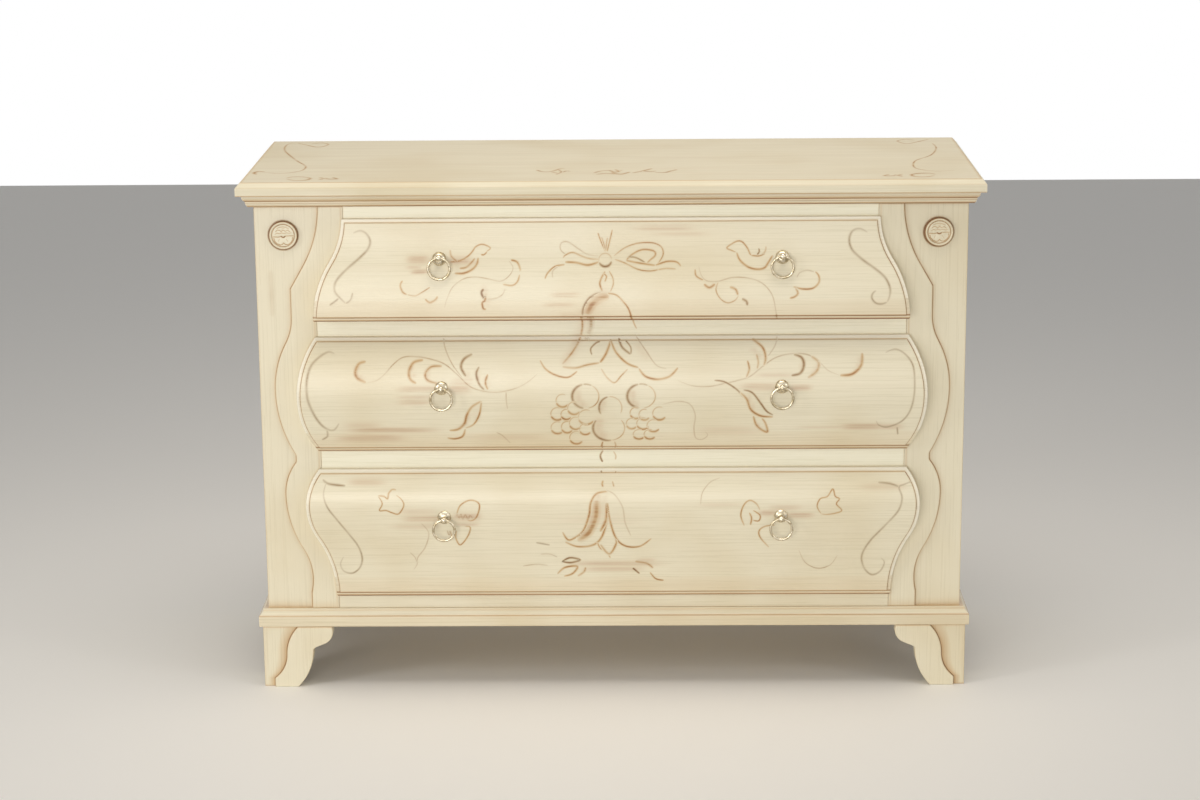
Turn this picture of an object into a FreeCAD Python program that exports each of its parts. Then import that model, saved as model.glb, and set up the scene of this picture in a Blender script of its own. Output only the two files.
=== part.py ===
# Painted chest of three swelled drawers on scrolled bracket feet.
# The frame: X across the front, Y from front to back, Z up from the floor.
# The origin is on the floor under the middle of the whole chest, ring pulls included.
import FreeCAD, Part
import copy
import math
import os
import Sketcher

doc = FreeCAD.newDocument("PaintedChest")

# Driving sizes, in millimetres
SIZES = {
    # Overall
    "overall_height": 870,
    "case_width": 1172,
    "case_depth": 430,
    # Top board
    "top_thickness": 22,
    "top_overhang": 26,
    "top_chamfer": 8,
    # Cornice moulding: a bead, a fillet and an ovolo, from its foot up
    "cornice_height": 20,
    "cornice_neck": 8,
    "cornice_bead_height": 6,
    "cornice_bead_reach": 11,
    "cornice_fillet_height": 4,
    "cornice_fillet_reach": 12,
    "cornice_ovolo_height": 9,
    "cornice_ovolo_neck": 13,
    "cornice_reach": 17,
    # Base moulding: a flat face, a cyma and a ledge for the boards
    "base_height": 31,
    "base_reach": 15,
    "base_face_height": 19,
    "base_cyma_height": 8.5,
    "base_ledge": 8,
    "base_round": 2,
    # Case
    "panel_thickness": 19,
    "stile_thickness": 22,
    "stile_width": 152,
    "back_thickness": 6,
    "back_seat": 9,
    "rail_thickness": 22,
    "web_thickness": 20,
    "rear_rail_depth": 22,
    # Scrolled boards on the stiles
    "scroll_proud": 5,
    "scroll_round": 2,
    # Drawer fronts: the rails that show between them, then the swell of the face and the lip
    "bottom_reveal": 23,
    "rail_reveal": 31,
    "top_reveal": 20,
    "edge_thickness": 9,
    "upper_swell": 24,
    "middle_swell": 26,
    "lower_swell": 24,
    "lip_cover": 8,
    "lip_side_cover": 3,
    "butt_gap": 0.3,
    "front_gap": 0.3,
    "thumb_width": 6.5,
    "thumb_step": 2.5,
    "thumb_round": 3.5,
    # Drawer boxes
    "tongue_thickness": 12,
    "box_side_gap": 2,
    "box_top_gap": 4,
    "run_gap": 0.3,
    "side_thickness": 12,
    "box_end_gap": 21.3,
    "box_back_thickness": 12,
    "ply_thickness": 6,
    "groove_depth": 5,
    "groove_rise": 10,
    # Runners and kickers
    "runner_shelf": 30,
    "guide_gap": 1,
    "guide_width": 28,
    "guide_height": 12,
    "kicker_width": 30,
    # Feet
    "foot_height": 107,
    "foot_reach": 9.5,
    "foot_width": 117,
    "foot_thickness": 20,
    "rear_foot_width": 90,
    "glue_block": 34,
    "glue_block_drop": 70,
    # Rosettes
    "rosette_radius": 23.8,
    "rosette_thickness": 7,
    "rosette_rim": 5,
    "rosette_hollow": 2.6,
    "rosette_boss": 4.5,
    "rosette_drop": 48,
    # Pulls
    "flange_radius": 11.5,
    "flange_thickness": 1.5,
    "dome_height": 7,
    "neck_radius": 3.2,
    "eye_reach": 14,
    "eye_radius": 5.5,
    "eye_hole_gap": 0.9,
    "shank_radius": 2,
    "shank_gap": 0.2,
    "seat_depth": 0.5,
    "seat_gap": 0.2,
    "nut_radius": 5,
    "nut_thickness": 3.2,
    "nut_sink": 5,
    "nut_recess_radius": 7.5,
    "ring_radius": 20,
    "wire_radius": 2.2,
    # Cutting tools run this far past what they cut
    "overrun": 6,
}

sheet = doc.addObject("Spreadsheet::Sheet", "Sizes")
for row, (name, value) in enumerate(SIZES.items(), start=1):
    sheet.set(f"A{row}", name)
    sheet.set(f"B{row}", str(value))
    sheet.setAlias(f"B{row}", name)
doc.recompute()


class Measure:
    """A length with the formula that ties it to the sheet. Sums and shares of measures are measures."""

    def __init__(self, value, formula):
        self.value = float(value)
        self.formula = formula

    def __float__(self):
        return self.value

    def __add__(self, other):
        return Measure(self.value + float(other), f"({self.formula} + {formula_of(other)})")

    def __sub__(self, other):
        return Measure(self.value - float(other), f"({self.formula} - {formula_of(other)})")

    def __mul__(self, share):
        return Measure(self.value * float(share), f"({self.formula} * {formula_of(share)})")

    def __truediv__(self, share):
        return Measure(self.value / float(share), f"({self.formula} / {formula_of(share)})")

    def __neg__(self):
        return Measure(-self.value, f"(-1 * {self.formula})")


def formula_of(thing):
    return thing.formula if isinstance(thing, Measure) else repr(float(thing))


def size(name):
    """A driving size as it stands in the sheet."""
    return Measure(sheet.get(name), f"Sizes.{name}")


ZERO = Measure(0, "0")
LEFT = -1
RIGHT = 1
SIDES = {"left": LEFT, "right": RIGHT}

case_half = size("case_width") / 2
opening_half = case_half - size("stile_width")
case_top = size("overall_height") - size("top_thickness")
face_top = case_top - size("cornice_height")
face_foot = size("foot_height") + size("base_height")
back_of_front = size("scroll_proud") + size("front_gap")
overrun = size("overrun")

# How far out from the opening the lines of the front stand, as shares of the stile's width
ACROSS_SHARES = {
    "end_top": 0.053,
    "end_waist": 0.372,
    "end_middle": 0.576,
    "end_lower": 0.516,
    "end_base": 0.224,
    "board_top": 0.306,
    "board_bend": 0.484,
    "board_neck": 0.628,
    "board_middle": 0.832,
    "board_lower": 0.757,
    "board_hollow": 0.484,
    "board_foot": 0.503,
    "rosette": 0.684,
}


def half_at(name):
    return opening_half + size("stile_width") * ACROSS_SHARES[name]


# Helpers for placing, drawing and padding

def tie(thing, prop, measure):
    """Binds a property of an object to the sheet."""
    thing.setExpression(prop, measure.formula)


def place(thing, x=ZERO, y=ZERO, z=ZERO, turn=0):
    """Puts an object at its place, bound to the sheet, turned about X by degrees."""
    spot = FreeCAD.Vector(float(x), float(y), float(z))
    thing.Placement = FreeCAD.Placement(spot, FreeCAD.Rotation(FreeCAD.Vector(1, 0, 0), turn))
    for axis, measure in (("x", x), ("y", y), ("z", z)):
        tie(thing, f"Placement.Base.{axis}", measure)


def new_body(name):
    body = doc.addObject("PartDesign::Body", name)
    body.Label = name
    return body


def sketch_on(body, role, name):
    """An empty sketch on one of the body's own origin planes."""
    plane = next(f for f in body.Origin.OriginFeatures if f.Role == role)
    sketch = body.newObject("Sketcher::SketchObject", name)
    sketch.AttachmentSupport = (plane, [""])
    sketch.MapMode = "FlatFace"
    return sketch


def draw_corners(sketch, corners):
    """A closed outline of straight lines whose corners are tied to the sheet."""
    spots = [flat(across, up) for across, up in corners]
    first = sketch.GeometryCount
    count = len(spots)
    for i in range(count):
        sketch.addGeometry(line(spots[i], spots[(i + 1) % count]))
    for i in range(count):
        sketch.addConstraint(Sketcher.Constraint("Coincident", first + i, 2, first + (i + 1) % count, 1))
    for i, (across, up) in enumerate(corners):
        for kind, measure in (("DistanceX", across), ("DistanceY", up)):
            row = sketch.addConstraint(Sketcher.Constraint(kind, -1, 1, first + i, 1, float(measure)))
            tie(sketch, f"Constraints[{row}]", measure)


def draw_curves(sketch, curves):
    """A closed outline whose lines and arcs are worked out from the sheet."""
    for curve in curves:
        sketch.addGeometry(curve)


def flat(across, up):
    return FreeCAD.Vector(float(across), float(up), 0)


def line(start, end):
    return Part.LineSegment(start, end)


def path(*points):
    """Straight lines from point to point."""
    return [line(start, end) for start, end in zip(points, points[1:])]


def pad(body, sketch, length, name, backwards=False):
    """Pads a sketch. A sketch on the XZ plane pads towards the front, unless it goes backwards."""
    feature = body.newObject("PartDesign::Pad", name)
    feature.Profile = sketch
    feature.Reversed = backwards
    tie(feature, "Length", length)
    return feature


def pocket(body, sketch, name):
    """Cuts a sketch right through the body, both ways."""
    feature = body.newObject("PartDesign::Pocket", name)
    feature.Profile = sketch
    feature.Type = 1
    feature.Midplane = True
    return feature


def turning(body, sketch, name):
    """Turns a sketch about its own upright axis."""
    feature = body.newObject("PartDesign::Revolution", name)
    feature.Profile = sketch
    feature.ReferenceAxis = (sketch, ["V_Axis"])
    feature.Angle = 360
    return feature


def board(name, low, high):
    """A plain rectangular board between two corners."""
    box = doc.addObject("Part::Box", name)
    box.Label = name
    for prop, start, end in zip(("Length", "Width", "Height"), low, high):
        tie(box, prop, end - start)
    place(box, *low)
    return box


def side_board(name, side, inner, outer, near, far, low, high):
    """A board on one side of the chest, between two distances from its middle."""
    west, east = (-outer, -inner) if side == LEFT else (inner, outer)
    return board(name, (west, near, low), (east, far, high))


def section_board(name, role, corners, start, length):
    """A board with one section all along: drawn on an origin plane, and padded along that plane's axis."""
    body = new_body(name)
    sketch = sketch_on(body, role, name + "_section")
    draw_corners(sketch, corners)
    pad(body, sketch, length, name + "_pad", backwards=role == "XZ_Plane")
    axis = {"YZ_Plane": "x", "XZ_Plane": "y", "XY_Plane": "z"}[role]
    place(body, **{axis: start})
    return body


def group(name, members):
    """Like pieces that share one node, each still its own solid."""
    together = doc.addObject("Part::Compound", name)
    together.Label = name
    together.Links = members
    return together


def cut_by(name, piece, tools):
    """A piece with its holes, sockets or housings cut by tools."""
    tool = tools[0]
    if len(tools) > 1:
        tool = doc.addObject("Part::MultiFuse", name + "_tools")
        tool.Shapes = tools
    cut = doc.addObject("Part::Cut", name)
    cut.Label = name
    cut.Base = piece
    cut.Tool = tool
    return cut


def cylinder(name, radius, height):
    rod = doc.addObject("Part::Cylinder", name)
    tie(rod, "Radius", radius)
    tie(rod, "Height", height)
    return rod


class Stretch:
    """One stretch of a climbing edge: straight, or an arc that is upright at its low end, high end or middle."""

    def __init__(self, low, high, upright=None, belly=None):
        self.low = [float(value) for value in low]
        self.high = [float(value) for value in high]
        self.upright = upright
        self.base, tip = (self.high, self.low) if upright == "high" else (self.low, self.high)
        if upright == "middle":
            self.base = [float(belly), (self.low[1] + self.high[1]) / 2]
        swing, rise = tip[0] - self.base[0], tip[1] - self.base[1]
        self.way = math.copysign(1, swing)
        self.radius = (swing**2 + rise**2) / (2 * abs(swing)) if upright else math.inf

    def shifted(self, out, up):
        """The same stretch, moved bodily outwards and up."""
        twin = copy.copy(self)
        spots = (self.low, self.high, self.base)
        twin.low, twin.high, twin.base = [[spot[0] + out, spot[1] + up] for spot in spots]
        return twin

    def across(self, height, out=0.0):
        """How far out the stretch lies at a height, once it is moved outwards."""
        if self.upright is None:
            share = (height - self.low[1]) / (self.high[1] - self.low[1])
            return self.low[0] + (self.high[0] - self.low[0]) * share + out
        radius = self.radius - self.way * out
        return self.base[0] + out + self.way * (radius - math.sqrt(radius**2 - (height - self.base[1]) ** 2))

    def slope(self, height):
        """How fast the stretch goes outwards as it climbs past a height."""
        if self.upright is None:
            return (self.high[0] - self.low[0]) / (self.high[1] - self.low[1])
        rise = height - self.base[1]
        return self.way * rise / math.sqrt(self.radius**2 - rise**2)

    def heights(self, out=0.0):
        """The heights between which the stretch runs, once it is moved outwards."""
        if self.upright is None:
            return self.low[1], self.high[1]
        share = (self.radius - self.way * out) / self.radius
        return [self.base[1] + (end[1] - self.base[1]) * share for end in (self.low, self.high)]


def s_curve(low, high, turn_share):
    """Two arcs, upright at both ends, that meet at a share of the way up the line between the ends."""
    turn = [float(a) + (float(b) - float(a)) * turn_share for a, b in zip(low, high)]
    return [Stretch(low, turn, "low"), Stretch(turn, high, "high")]


def drawn(edge, low=-math.inf, high=math.inf, out=0.0, side=RIGHT):
    """The lines and arcs of a climbing edge between two heights, moved outwards and put on a side."""
    curves = []
    for stretch in edge:
        foot, head = stretch.heights(out)
        bottom, top = max(foot, float(low)), min(head, float(high))
        if top < bottom or math.isclose(top, bottom):
            continue
        spots = [
            flat(side * stretch.across(height, out), height) for height in (bottom, (bottom + top) / 2, top)
        ]
        curves.append(line(spots[0], spots[2]) if stretch.upright is None else Part.Arc(*spots))
    return curves


def closed(left_curves, right_curves):
    """Two climbing edges joined into an outline by a line at the foot and a line at the head."""
    ends = [(curves[0].StartPoint, curves[-1].EndPoint) for curves in (left_curves, right_curves)]
    return [*left_curves, *right_curves, line(ends[0][0], ends[1][0]), line(ends[0][1], ends[1][1])]


def moved(edge, out=ZERO, up=ZERO):
    """A climbing edge moved bodily outwards and up."""
    return [stretch.shifted(float(out), float(up)) for stretch in edge]


def stretch_at(edge, height):
    return next(stretch for stretch in edge if stretch.low[1] <= height <= stretch.high[1])


nodes = {}


# Drawer fronts: where each one stands, how its ends and its face are shaped, and where its pulls sit

# The three fronts share out the height that the rails leave
HEIGHT_SHARES = {"upper": 0.2855, "middle": 0.3333, "lower": 0.3812}
# Where a front's S-curve swells most, where it turns over and where the pulls sit: shares of its own height
BELLY_SHARES = {"upper": 0, "lower": 0.7355}
TURN_SHARES = {"upper": 0.58, "lower": 0.65}
PULL_SHARES = {"upper": 0.611, "middle": 0.585, "lower": 0.6525}
# How far out the pulls sit, as a share of the opening's half-width
PULL_ACROSS_SHARE = 0.6475


class Front:
    """One drawer front, with its place and the three stations of its curves: foot, belly and head."""

    def __init__(self, name, foot, stations):
        self.name = name
        self.foot = foot
        self.height = fronts_height * HEIGHT_SHARES[name]
        self.head = foot + self.height
        edge = size("edge_thickness")
        self.belly = edge + size(f"{name}_swell")
        self.end = self.curve(*[half_at(f"end_{station}") for station in stations])
        self.face = self.curve(edge, self.belly, edge)
        self.pull_rise = float(self.height * PULL_SHARES[name])

    def curve(self, foot_out, belly_out, head_out):
        """Out from the foot to the belly and in again to the head, above the front's own foot."""
        foot, head = (foot_out, ZERO), (head_out, self.height)
        if self.name == "middle":
            return [Stretch(foot, head, "middle", belly_out)]
        belly = (belly_out, self.height * BELLY_SHARES[self.name])
        if self.name == "upper":
            return s_curve(belly, head, TURN_SHARES["upper"])
        return [*s_curve(foot, belly, TURN_SHARES["lower"]), Stretch(belly, head, "low")]


fronts_height = face_top - face_foot - size("bottom_reveal") - size("rail_reveal") * 2 - size("top_reveal")
lower = Front("lower", face_foot + size("bottom_reveal"), ("base", "lower", "waist"))
middle = Front("middle", lower.head + size("rail_reveal"), ("waist", "middle", "waist"))
upper = Front("upper", middle.head + size("rail_reveal"), ("waist", "waist", "top"))
fronts = [upper, middle, lower]


class Seat:
    """Where a pull sits on its front: its spot on the face, the face's lean there, and its eye."""

    def __init__(self, front):
        stretch = stretch_at(front.face, front.pull_rise)
        self.forward = stretch.across(front.pull_rise)
        self.rise = front.pull_rise
        self.lean = -math.atan(stretch.slope(front.pull_rise))
        reach = float(size("eye_reach") - size("seat_depth"))
        self.eye_forward = self.forward + reach * math.cos(self.lean)
        self.eye_rise = self.rise + reach * math.sin(self.lean)


seats = {front.name: Seat(front) for front in fronts}
eye_front = max(seat.eye_forward for seat in seats.values()) + float(size("eye_radius") + back_of_front)
case_face = (size("case_depth") * -1 + eye_front) / 2
case_back = case_face + size("case_depth")


# Top board: chamfered on its front and ends, square at the back

def make_top_board():
    body = new_body("top_board")
    half = case_half + size("top_overhang")
    front = case_face - size("top_overhang")
    sketch = sketch_on(body, "XY_Plane", "top_board_plan")
    draw_corners(sketch, [(-half, front), (half, front), (half, case_back), (-half, case_back)])
    slab = pad(body, sketch, size("top_thickness"), "top_board_pad")
    place(body, z=case_top)
    doc.recompute()
    upper_edges = []
    for number, edge in enumerate(slab.Shape.Edges, start=1):
        middle_of_edge = edge.CenterOfMass
        on_top = middle_of_edge.z > float(size("top_thickness") - size("top_chamfer"))
        at_back = middle_of_edge.y > float(case_back - size("top_chamfer"))
        if on_top and not at_back:
            upper_edges.append(f"Edge{number}")
    chamfer = body.newObject("PartDesign::Chamfer", "top_board_chamfer")
    chamfer.Base = (slab, upper_edges)
    tie(chamfer, "Size", size("top_chamfer"))
    return body


nodes["top_board"] = make_top_board()


# Mouldings: one section runs across the front and, mitred, back along each side

# Where the cyma turns over, as a share of the way up
CYMA_TURN_SHARE = 0.6


def cornice_section(side):
    """Outward reach and height of the cornice: a bead, a fillet and an ovolo under the top."""
    neck, top = size("cornice_neck"), size("cornice_height")
    bead = (size("cornice_bead_reach"), size("cornice_bead_height"))
    fillet = size("cornice_fillet_reach")
    fillet_top = bead[1] + size("cornice_fillet_height")
    ovolo = (size("cornice_reach"), fillet_top + size("cornice_ovolo_height"))
    ovolo_foot = (size("cornice_ovolo_neck"), fillet_top)
    return [
        *path(flat(0, top), flat(0, 0), flat(neck * side, 0)),
        *drawn([Stretch((neck, 0), bead, "high")], side=side),
        *path(
            flat(bead[0] * side, bead[1]), flat(fillet * side, bead[1]), flat(fillet * side, fillet_top),
            flat(ovolo_foot[0] * side, fillet_top),
        ),
        *drawn([Stretch(ovolo_foot, ovolo, "high")], side=side),
        *path(flat(ovolo[0] * side, ovolo[1]), flat(ovolo[0] * side, top), flat(0, top)),
    ]


def base_section(side):
    """Outward reach and height of the base moulding: a flat face, a cyma and a ledge."""
    reach, ledge, top = size("base_reach"), size("base_ledge"), size("base_height")
    soft, face = size("base_round"), size("base_face_height")
    cyma_top = face + size("base_cyma_height")
    return [
        *path(flat(0, top), flat(0, 0), flat((reach - soft) * side, 0)),
        *drawn([Stretch((reach - soft, 0), (reach, soft), "high")], side=side),
        *path(flat(reach * side, soft), flat(reach * side, face)),
        *drawn(s_curve((reach, face), (ledge, cyma_top), CYMA_TURN_SHARE), side=side),
        *path(flat(ledge * side, cyma_top), flat(ledge * side, top), flat(0, top)),
    ]


def front_moulding(name, section, reach, foot):
    """The front length, mitred at both ends."""
    body = new_body(name)
    sketch = sketch_on(body, "YZ_Plane", name + "_section")
    draw_curves(sketch, section(LEFT))
    run = pad(body, sketch, (case_half + reach) * 2, name + "_run")
    run.Midplane = True
    mitres = sketch_on(body, "XY_Plane", name + "_mitres")
    for side in SIDES.values():
        inner = case_half - overrun
        outer = case_half + reach + overrun
        draw_corners(
            mitres, [(inner * side, overrun), (outer * side, -(reach + overrun)), (outer * side, overrun)]
        )
    pocket(body, mitres, name + "_mitre_cut")
    place(body, y=case_face, z=foot)
    return body


def side_moulding(name, side, section, reach, foot):
    """The return along one side, mitred at its front end and square at the back."""
    body = new_body(name)
    sketch = sketch_on(body, "XZ_Plane", name + "_section")
    tie(sketch, "AttachmentOffset.Base.z", reach)
    draw_curves(sketch, section(side))
    pad(body, sketch, size("case_depth") + reach, name + "_run", backwards=True)
    mitre = sketch_on(body, "XY_Plane", name + "_mitre")
    beyond = reach + overrun
    draw_corners(
        mitre, [(overrun * -side, overrun), (beyond * side, -beyond), (overrun * -side, -beyond)]
    )
    pocket(body, mitre, name + "_mitre_cut")
    place(body, x=case_half * side, y=case_face, z=foot)
    return body


MOULDINGS = {
    "cornice": (cornice_section, size("cornice_reach"), face_top),
    "base_moulding": (base_section, size("base_reach"), size("foot_height")),
}
for kind, (section, reach, foot) in MOULDINGS.items():
    nodes[f"{kind}_front"] = front_moulding(f"{kind}_front", section, reach, foot)
    for side_name, side in SIDES.items():
        nodes[f"{kind}_{side_name}"] = side_moulding(f"{kind}_{side_name}", side, section, reach, foot)


# Case: side panels rebated for the back, the back panel, and flat stiles at the front corners

def panel_plan(side):
    """The side panel's plan, from the stile's back to the case's back, with the rebate."""
    outer = case_half * side
    inner = (case_half - size("panel_thickness")) * side
    seat = (case_half - size("panel_thickness") + size("back_seat")) * side
    front = case_face + size("stile_thickness")
    rebate = case_back - size("back_thickness")
    return [(outer, front), (outer, case_back), (seat, case_back), (seat, rebate), (inner, rebate), (inner, front)]


back_front = case_back - size("back_thickness")
between_panels = case_half - size("panel_thickness")
back_half = between_panels + size("back_seat")

for side_name, side in SIDES.items():
    nodes[f"side_panel_{side_name}"] = section_board(
        f"side_panel_{side_name}", "XY_Plane", panel_plan(side), size("foot_height"),
        case_top - size("foot_height"),
    )
    nodes[f"front_stile_{side_name}"] = side_board(
        f"front_stile_{side_name}", side, opening_half, case_half, case_face,
        case_face + size("stile_thickness"), size("foot_height"), case_top,
    )
nodes["back_panel"] = board(
    "back_panel", (-back_half, back_front, size("foot_height")), (back_half, case_back, case_top)
)


# Scrolled boards laid on the stiles: the inner edge follows the drawers, the outer edge its own serpentine

# Where the outer edge turns: shares of the height of the drawer front beside it
FOOT_LINE_SHARE = 0.018
HOLLOW_SHARE = 0.13
BOARD_LOWER_SHARE = 0.794
BUMP_LOW_SHARE = 1.045
BUMP_HIGH_SHARE = -0.046
BOARD_MIDDLE_SHARE = 0.53
NECK_SHARE = 0.293
BEND_SHARE = 0.52
# Where its S-curves turn over
HOLLOW_TURN_SHARE = 0.35
NECK_TURN_SHARE = 0.65


def outer_edge():
    """The serpentine outer edge, from the base moulding up to the cornice."""

    def at(name, front, share):
        return half_at(name), front.foot + front.height * share

    foot_line = at("board_foot", lower, FOOT_LINE_SHARE)
    hollow = at("board_hollow", lower, HOLLOW_SHARE)
    lower_belly = at("board_lower", lower, BOARD_LOWER_SHARE)
    bump_low = at("board_neck", lower, BUMP_LOW_SHARE)
    bump_high = at("board_neck", middle, BUMP_HIGH_SHARE)
    middle_belly = at("board_middle", middle, BOARD_MIDDLE_SHARE)
    neck_low = at("board_neck", upper, 0)
    neck_high = at("board_neck", upper, NECK_SHARE)
    bend = at("board_bend", upper, BEND_SHARE)
    return [
        Stretch((foot_line[0], face_foot), foot_line),
        Stretch(foot_line, hollow, "high"),
        *s_curve(hollow, lower_belly, HOLLOW_TURN_SHARE),
        Stretch(lower_belly, bump_low, "low"),
        Stretch(bump_low, bump_high),
        Stretch(bump_high, middle_belly, "high"),
        *s_curve(middle_belly, neck_low, NECK_TURN_SHARE),
        Stretch(neck_low, neck_high),
        Stretch(neck_high, bend),
        Stretch(bend, (half_at("board_top"), face_top), "high"),
    ]


rail_halves = {name: half_at(f"end_{name}") - size("lip_side_cover") for name in ("top", "waist", "base")}


def inner_edge():
    """The inner edge: straight beside each rail, and under the drawer's lip along its end."""
    cover = size("lip_side_cover")
    edge = [Stretch((rail_halves["base"], face_foot), (rail_halves["base"], lower.foot))]
    for front, head_half, next_foot in (
        (lower, rail_halves["waist"], middle.foot),
        (middle, rail_halves["waist"], upper.foot),
        (upper, rail_halves["top"], face_top),
    ):
        edge += moved(front.end, -cover, front.foot)
        edge.append(Stretch((head_half, front.head), (head_half, next_foot)))
    return edge


def make_scrolled_stile(name, side):
    body = new_body(name)
    sketch = sketch_on(body, "XZ_Plane", name + "_outline")
    outer = outer_edge()
    draw_curves(sketch, closed(drawn(inner_edge(), side=side), drawn(outer, side=side)))
    slab = pad(body, sketch, size("scroll_proud"), name + "_pad")
    place(body, y=case_face)
    doc.recompute()
    soft = float(size("scroll_round"))
    shown = soft - float(size("scroll_proud"))
    rounded = []
    for number, edge in enumerate(slab.Shape.Edges, start=1):
        spot = edge.valueAt((edge.FirstParameter + edge.LastParameter) / 2)
        in_front = edge.BoundBox.YMax < shown
        along_outer = edge.BoundBox.ZLength > soft and abs(
            abs(spot.x) - stretch_at(outer, spot.z).across(spot.z)
        ) < soft
        if in_front and along_outer:
            rounded.append(f"Edge{number}")
    softened = body.newObject("PartDesign::Fillet", name + "_round")
    softened.Base = (slab, rounded)
    tie(softened, "Radius", size("scroll_round"))
    return body


for side_name, side in SIDES.items():
    nodes[f"scrolled_stile_{side_name}"] = make_scrolled_stile(f"scrolled_stile_{side_name}", side)


# Rails: the core fits between the stiles, and the face laps over them to the scrolled boards

def rail(name, core_low, core_high, face_low, face_high, board_half):
    body = new_body(name)
    core = sketch_on(body, "XZ_Plane", name + "_core")
    draw_corners(
        core,
        [(-opening_half, core_low), (opening_half, core_low), (opening_half, core_high), (-opening_half, core_high)],
    )
    pad(body, core, size("rail_thickness"), name + "_core_pad", backwards=True)
    face = sketch_on(body, "XZ_Plane", name + "_face")
    half = board_half - size("butt_gap")
    draw_corners(face, [(-half, face_low), (half, face_low), (half, face_high), (-half, face_high)])
    pad(body, face, size("scroll_proud"), name + "_face_pad")
    place(body, y=case_face)
    return body


opening_tops = {front.name: front.head - size("lip_cover") for front in fronts}
rail_tops = {front.name: front.foot + size("lip_cover") for front in fronts}
nodes["top_rail"] = rail(
    "top_rail", opening_tops["upper"], case_top, opening_tops["upper"], face_top, rail_halves["top"]
)
nodes["upper_rail"] = rail(
    "upper_rail", opening_tops["middle"], rail_tops["upper"], opening_tops["middle"], rail_tops["upper"],
    rail_halves["waist"],
)
nodes["lower_rail"] = rail(
    "lower_rail", opening_tops["lower"], rail_tops["middle"], opening_tops["lower"], rail_tops["middle"],
    rail_halves["waist"],
)
nodes["bottom_rail"] = rail(
    "bottom_rail", size("foot_height"), rail_tops["lower"], face_foot, rail_tops["lower"], rail_halves["base"]
)


# Rosettes: turned discs with a raised rim, a dished ground and a small boss

# How much of the hollow the dished ground takes
DISH_SHARE = 0.6


def rosette(name, side):
    body = new_body(name)
    sketch = sketch_on(body, "XY_Plane", name + "_section")
    radius, thick = size("rosette_radius"), size("rosette_thickness")
    rim, boss = size("rosette_rim"), size("rosette_boss")
    ground = -(thick - size("rosette_hollow"))
    inner = radius - rim
    shoulder = -(thick - rim / 2)
    dish = ground + size("rosette_hollow") * DISH_SHARE
    rise = float(size("rosette_hollow"))
    ball = (float(boss) ** 2 + rise**2) / (2 * rise)
    half_turn = math.asin(float(boss) / ball) / 2
    boss_side = flat(ball * math.sin(half_turn), ball - ball * math.cos(half_turn) - float(thick))
    draw_curves(
        sketch,
        [
            *path(flat(0, 0), flat(radius, 0), flat(radius, shoulder)),
            Part.Arc(flat(radius, shoulder), flat(radius - rim / 2, -thick), flat(inner, shoulder)),
            *path(flat(inner, shoulder), flat(inner, ground)),
            Part.Arc(flat(inner, ground), flat((inner + boss) / 2, dish), flat(boss, ground)),
            Part.Arc(flat(boss, ground), boss_side, flat(0, -thick)),
            *path(flat(0, -thick), flat(0, 0)),
        ],
    )
    turning(body, sketch, name + "_turning")
    place(body, half_at("rosette") * side, case_face, face_top - size("rosette_drop"))
    return body


for side_name, side in SIDES.items():
    nodes[f"rosette_{side_name}"] = rosette(f"rosette_{side_name}", side)


# Webs: at each level two runners with side guides and a rear rail behind them, and kickers under the top

runner_front = case_face + size("stile_thickness")
rear_rail_front = back_front - size("rear_rail_depth")
web_feet = {
    "upper": opening_tops["middle"],
    "middle": opening_tops["lower"],
    "lower": rail_tops["lower"] - size("web_thickness"),
}


def runner_section(side, low, top):
    """An L section: the shelf carries the drawer's side, and the guide beside it keeps the drawer straight."""
    shelf_in = (opening_half - size("runner_shelf")) * side
    guide_in = (opening_half - size("box_side_gap") + size("guide_gap")) * side
    guide_out = (opening_half + size("guide_width")) * side
    high = top + size("guide_height")
    return [(shelf_in, low), (guide_out, low), (guide_out, high), (guide_in, high), (guide_in, top), (shelf_in, top)]


for front in fronts:
    low, top = web_feet[front.name], rail_tops[front.name]
    pair = [
        section_board(
            f"{front.name}_runner_{side_name}", "XZ_Plane", runner_section(side, low, top), runner_front,
            rear_rail_front - runner_front,
        )
        for side_name, side in SIDES.items()
    ]
    nodes[f"{front.name}_runners"] = group(f"{front.name}_runners", pair)

rear_rail_heights = [(web_feet[front.name], rail_tops[front.name]) for front in fronts]
rear_rail_heights.append((opening_tops["upper"], case_top))
nodes["rear_rails"] = group(
    "rear_rails",
    [
        board(f"rear_rail_{i}", (-between_panels, rear_rail_front, low), (between_panels, back_front, high))
        for i, (low, high) in enumerate(rear_rail_heights)
    ],
)
nodes["kickers"] = group(
    "kickers",
    [
        side_board(
            f"kicker_{side_name}", side, opening_half - size("kicker_width"), opening_half, runner_front,
            rear_rail_front, opening_tops["upper"], case_top,
        )
        for side_name, side in SIDES.items()
    ],
)


# Feet: a scrolled front board and a side board in one corner piece, with a bracket laid on the front

# Shares of the foot's width, in from its outer corner, and of its height
FOOT_SHARES = {
    "head": (1.0, 1.0),
    "nose": (1.02, 0.916),
    "chin": (0.902, 0.72),
    "notch": (0.751, 0.65),
    "shin": (0.729, 0.617),
    "toe": (0.494, 0),
    "bracket_head": (0.518, 1.0),
    "bracket_waist": (0.342, 0.542),
    "bracket_heel": (0.155, 0.14),
    "bracket_toe": (0.155, 0),
}


def foot_spot(name):
    across_share, rise_share = FOOT_SHARES[name]
    return size("foot_width") * across_share, size("foot_height") * rise_share


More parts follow.
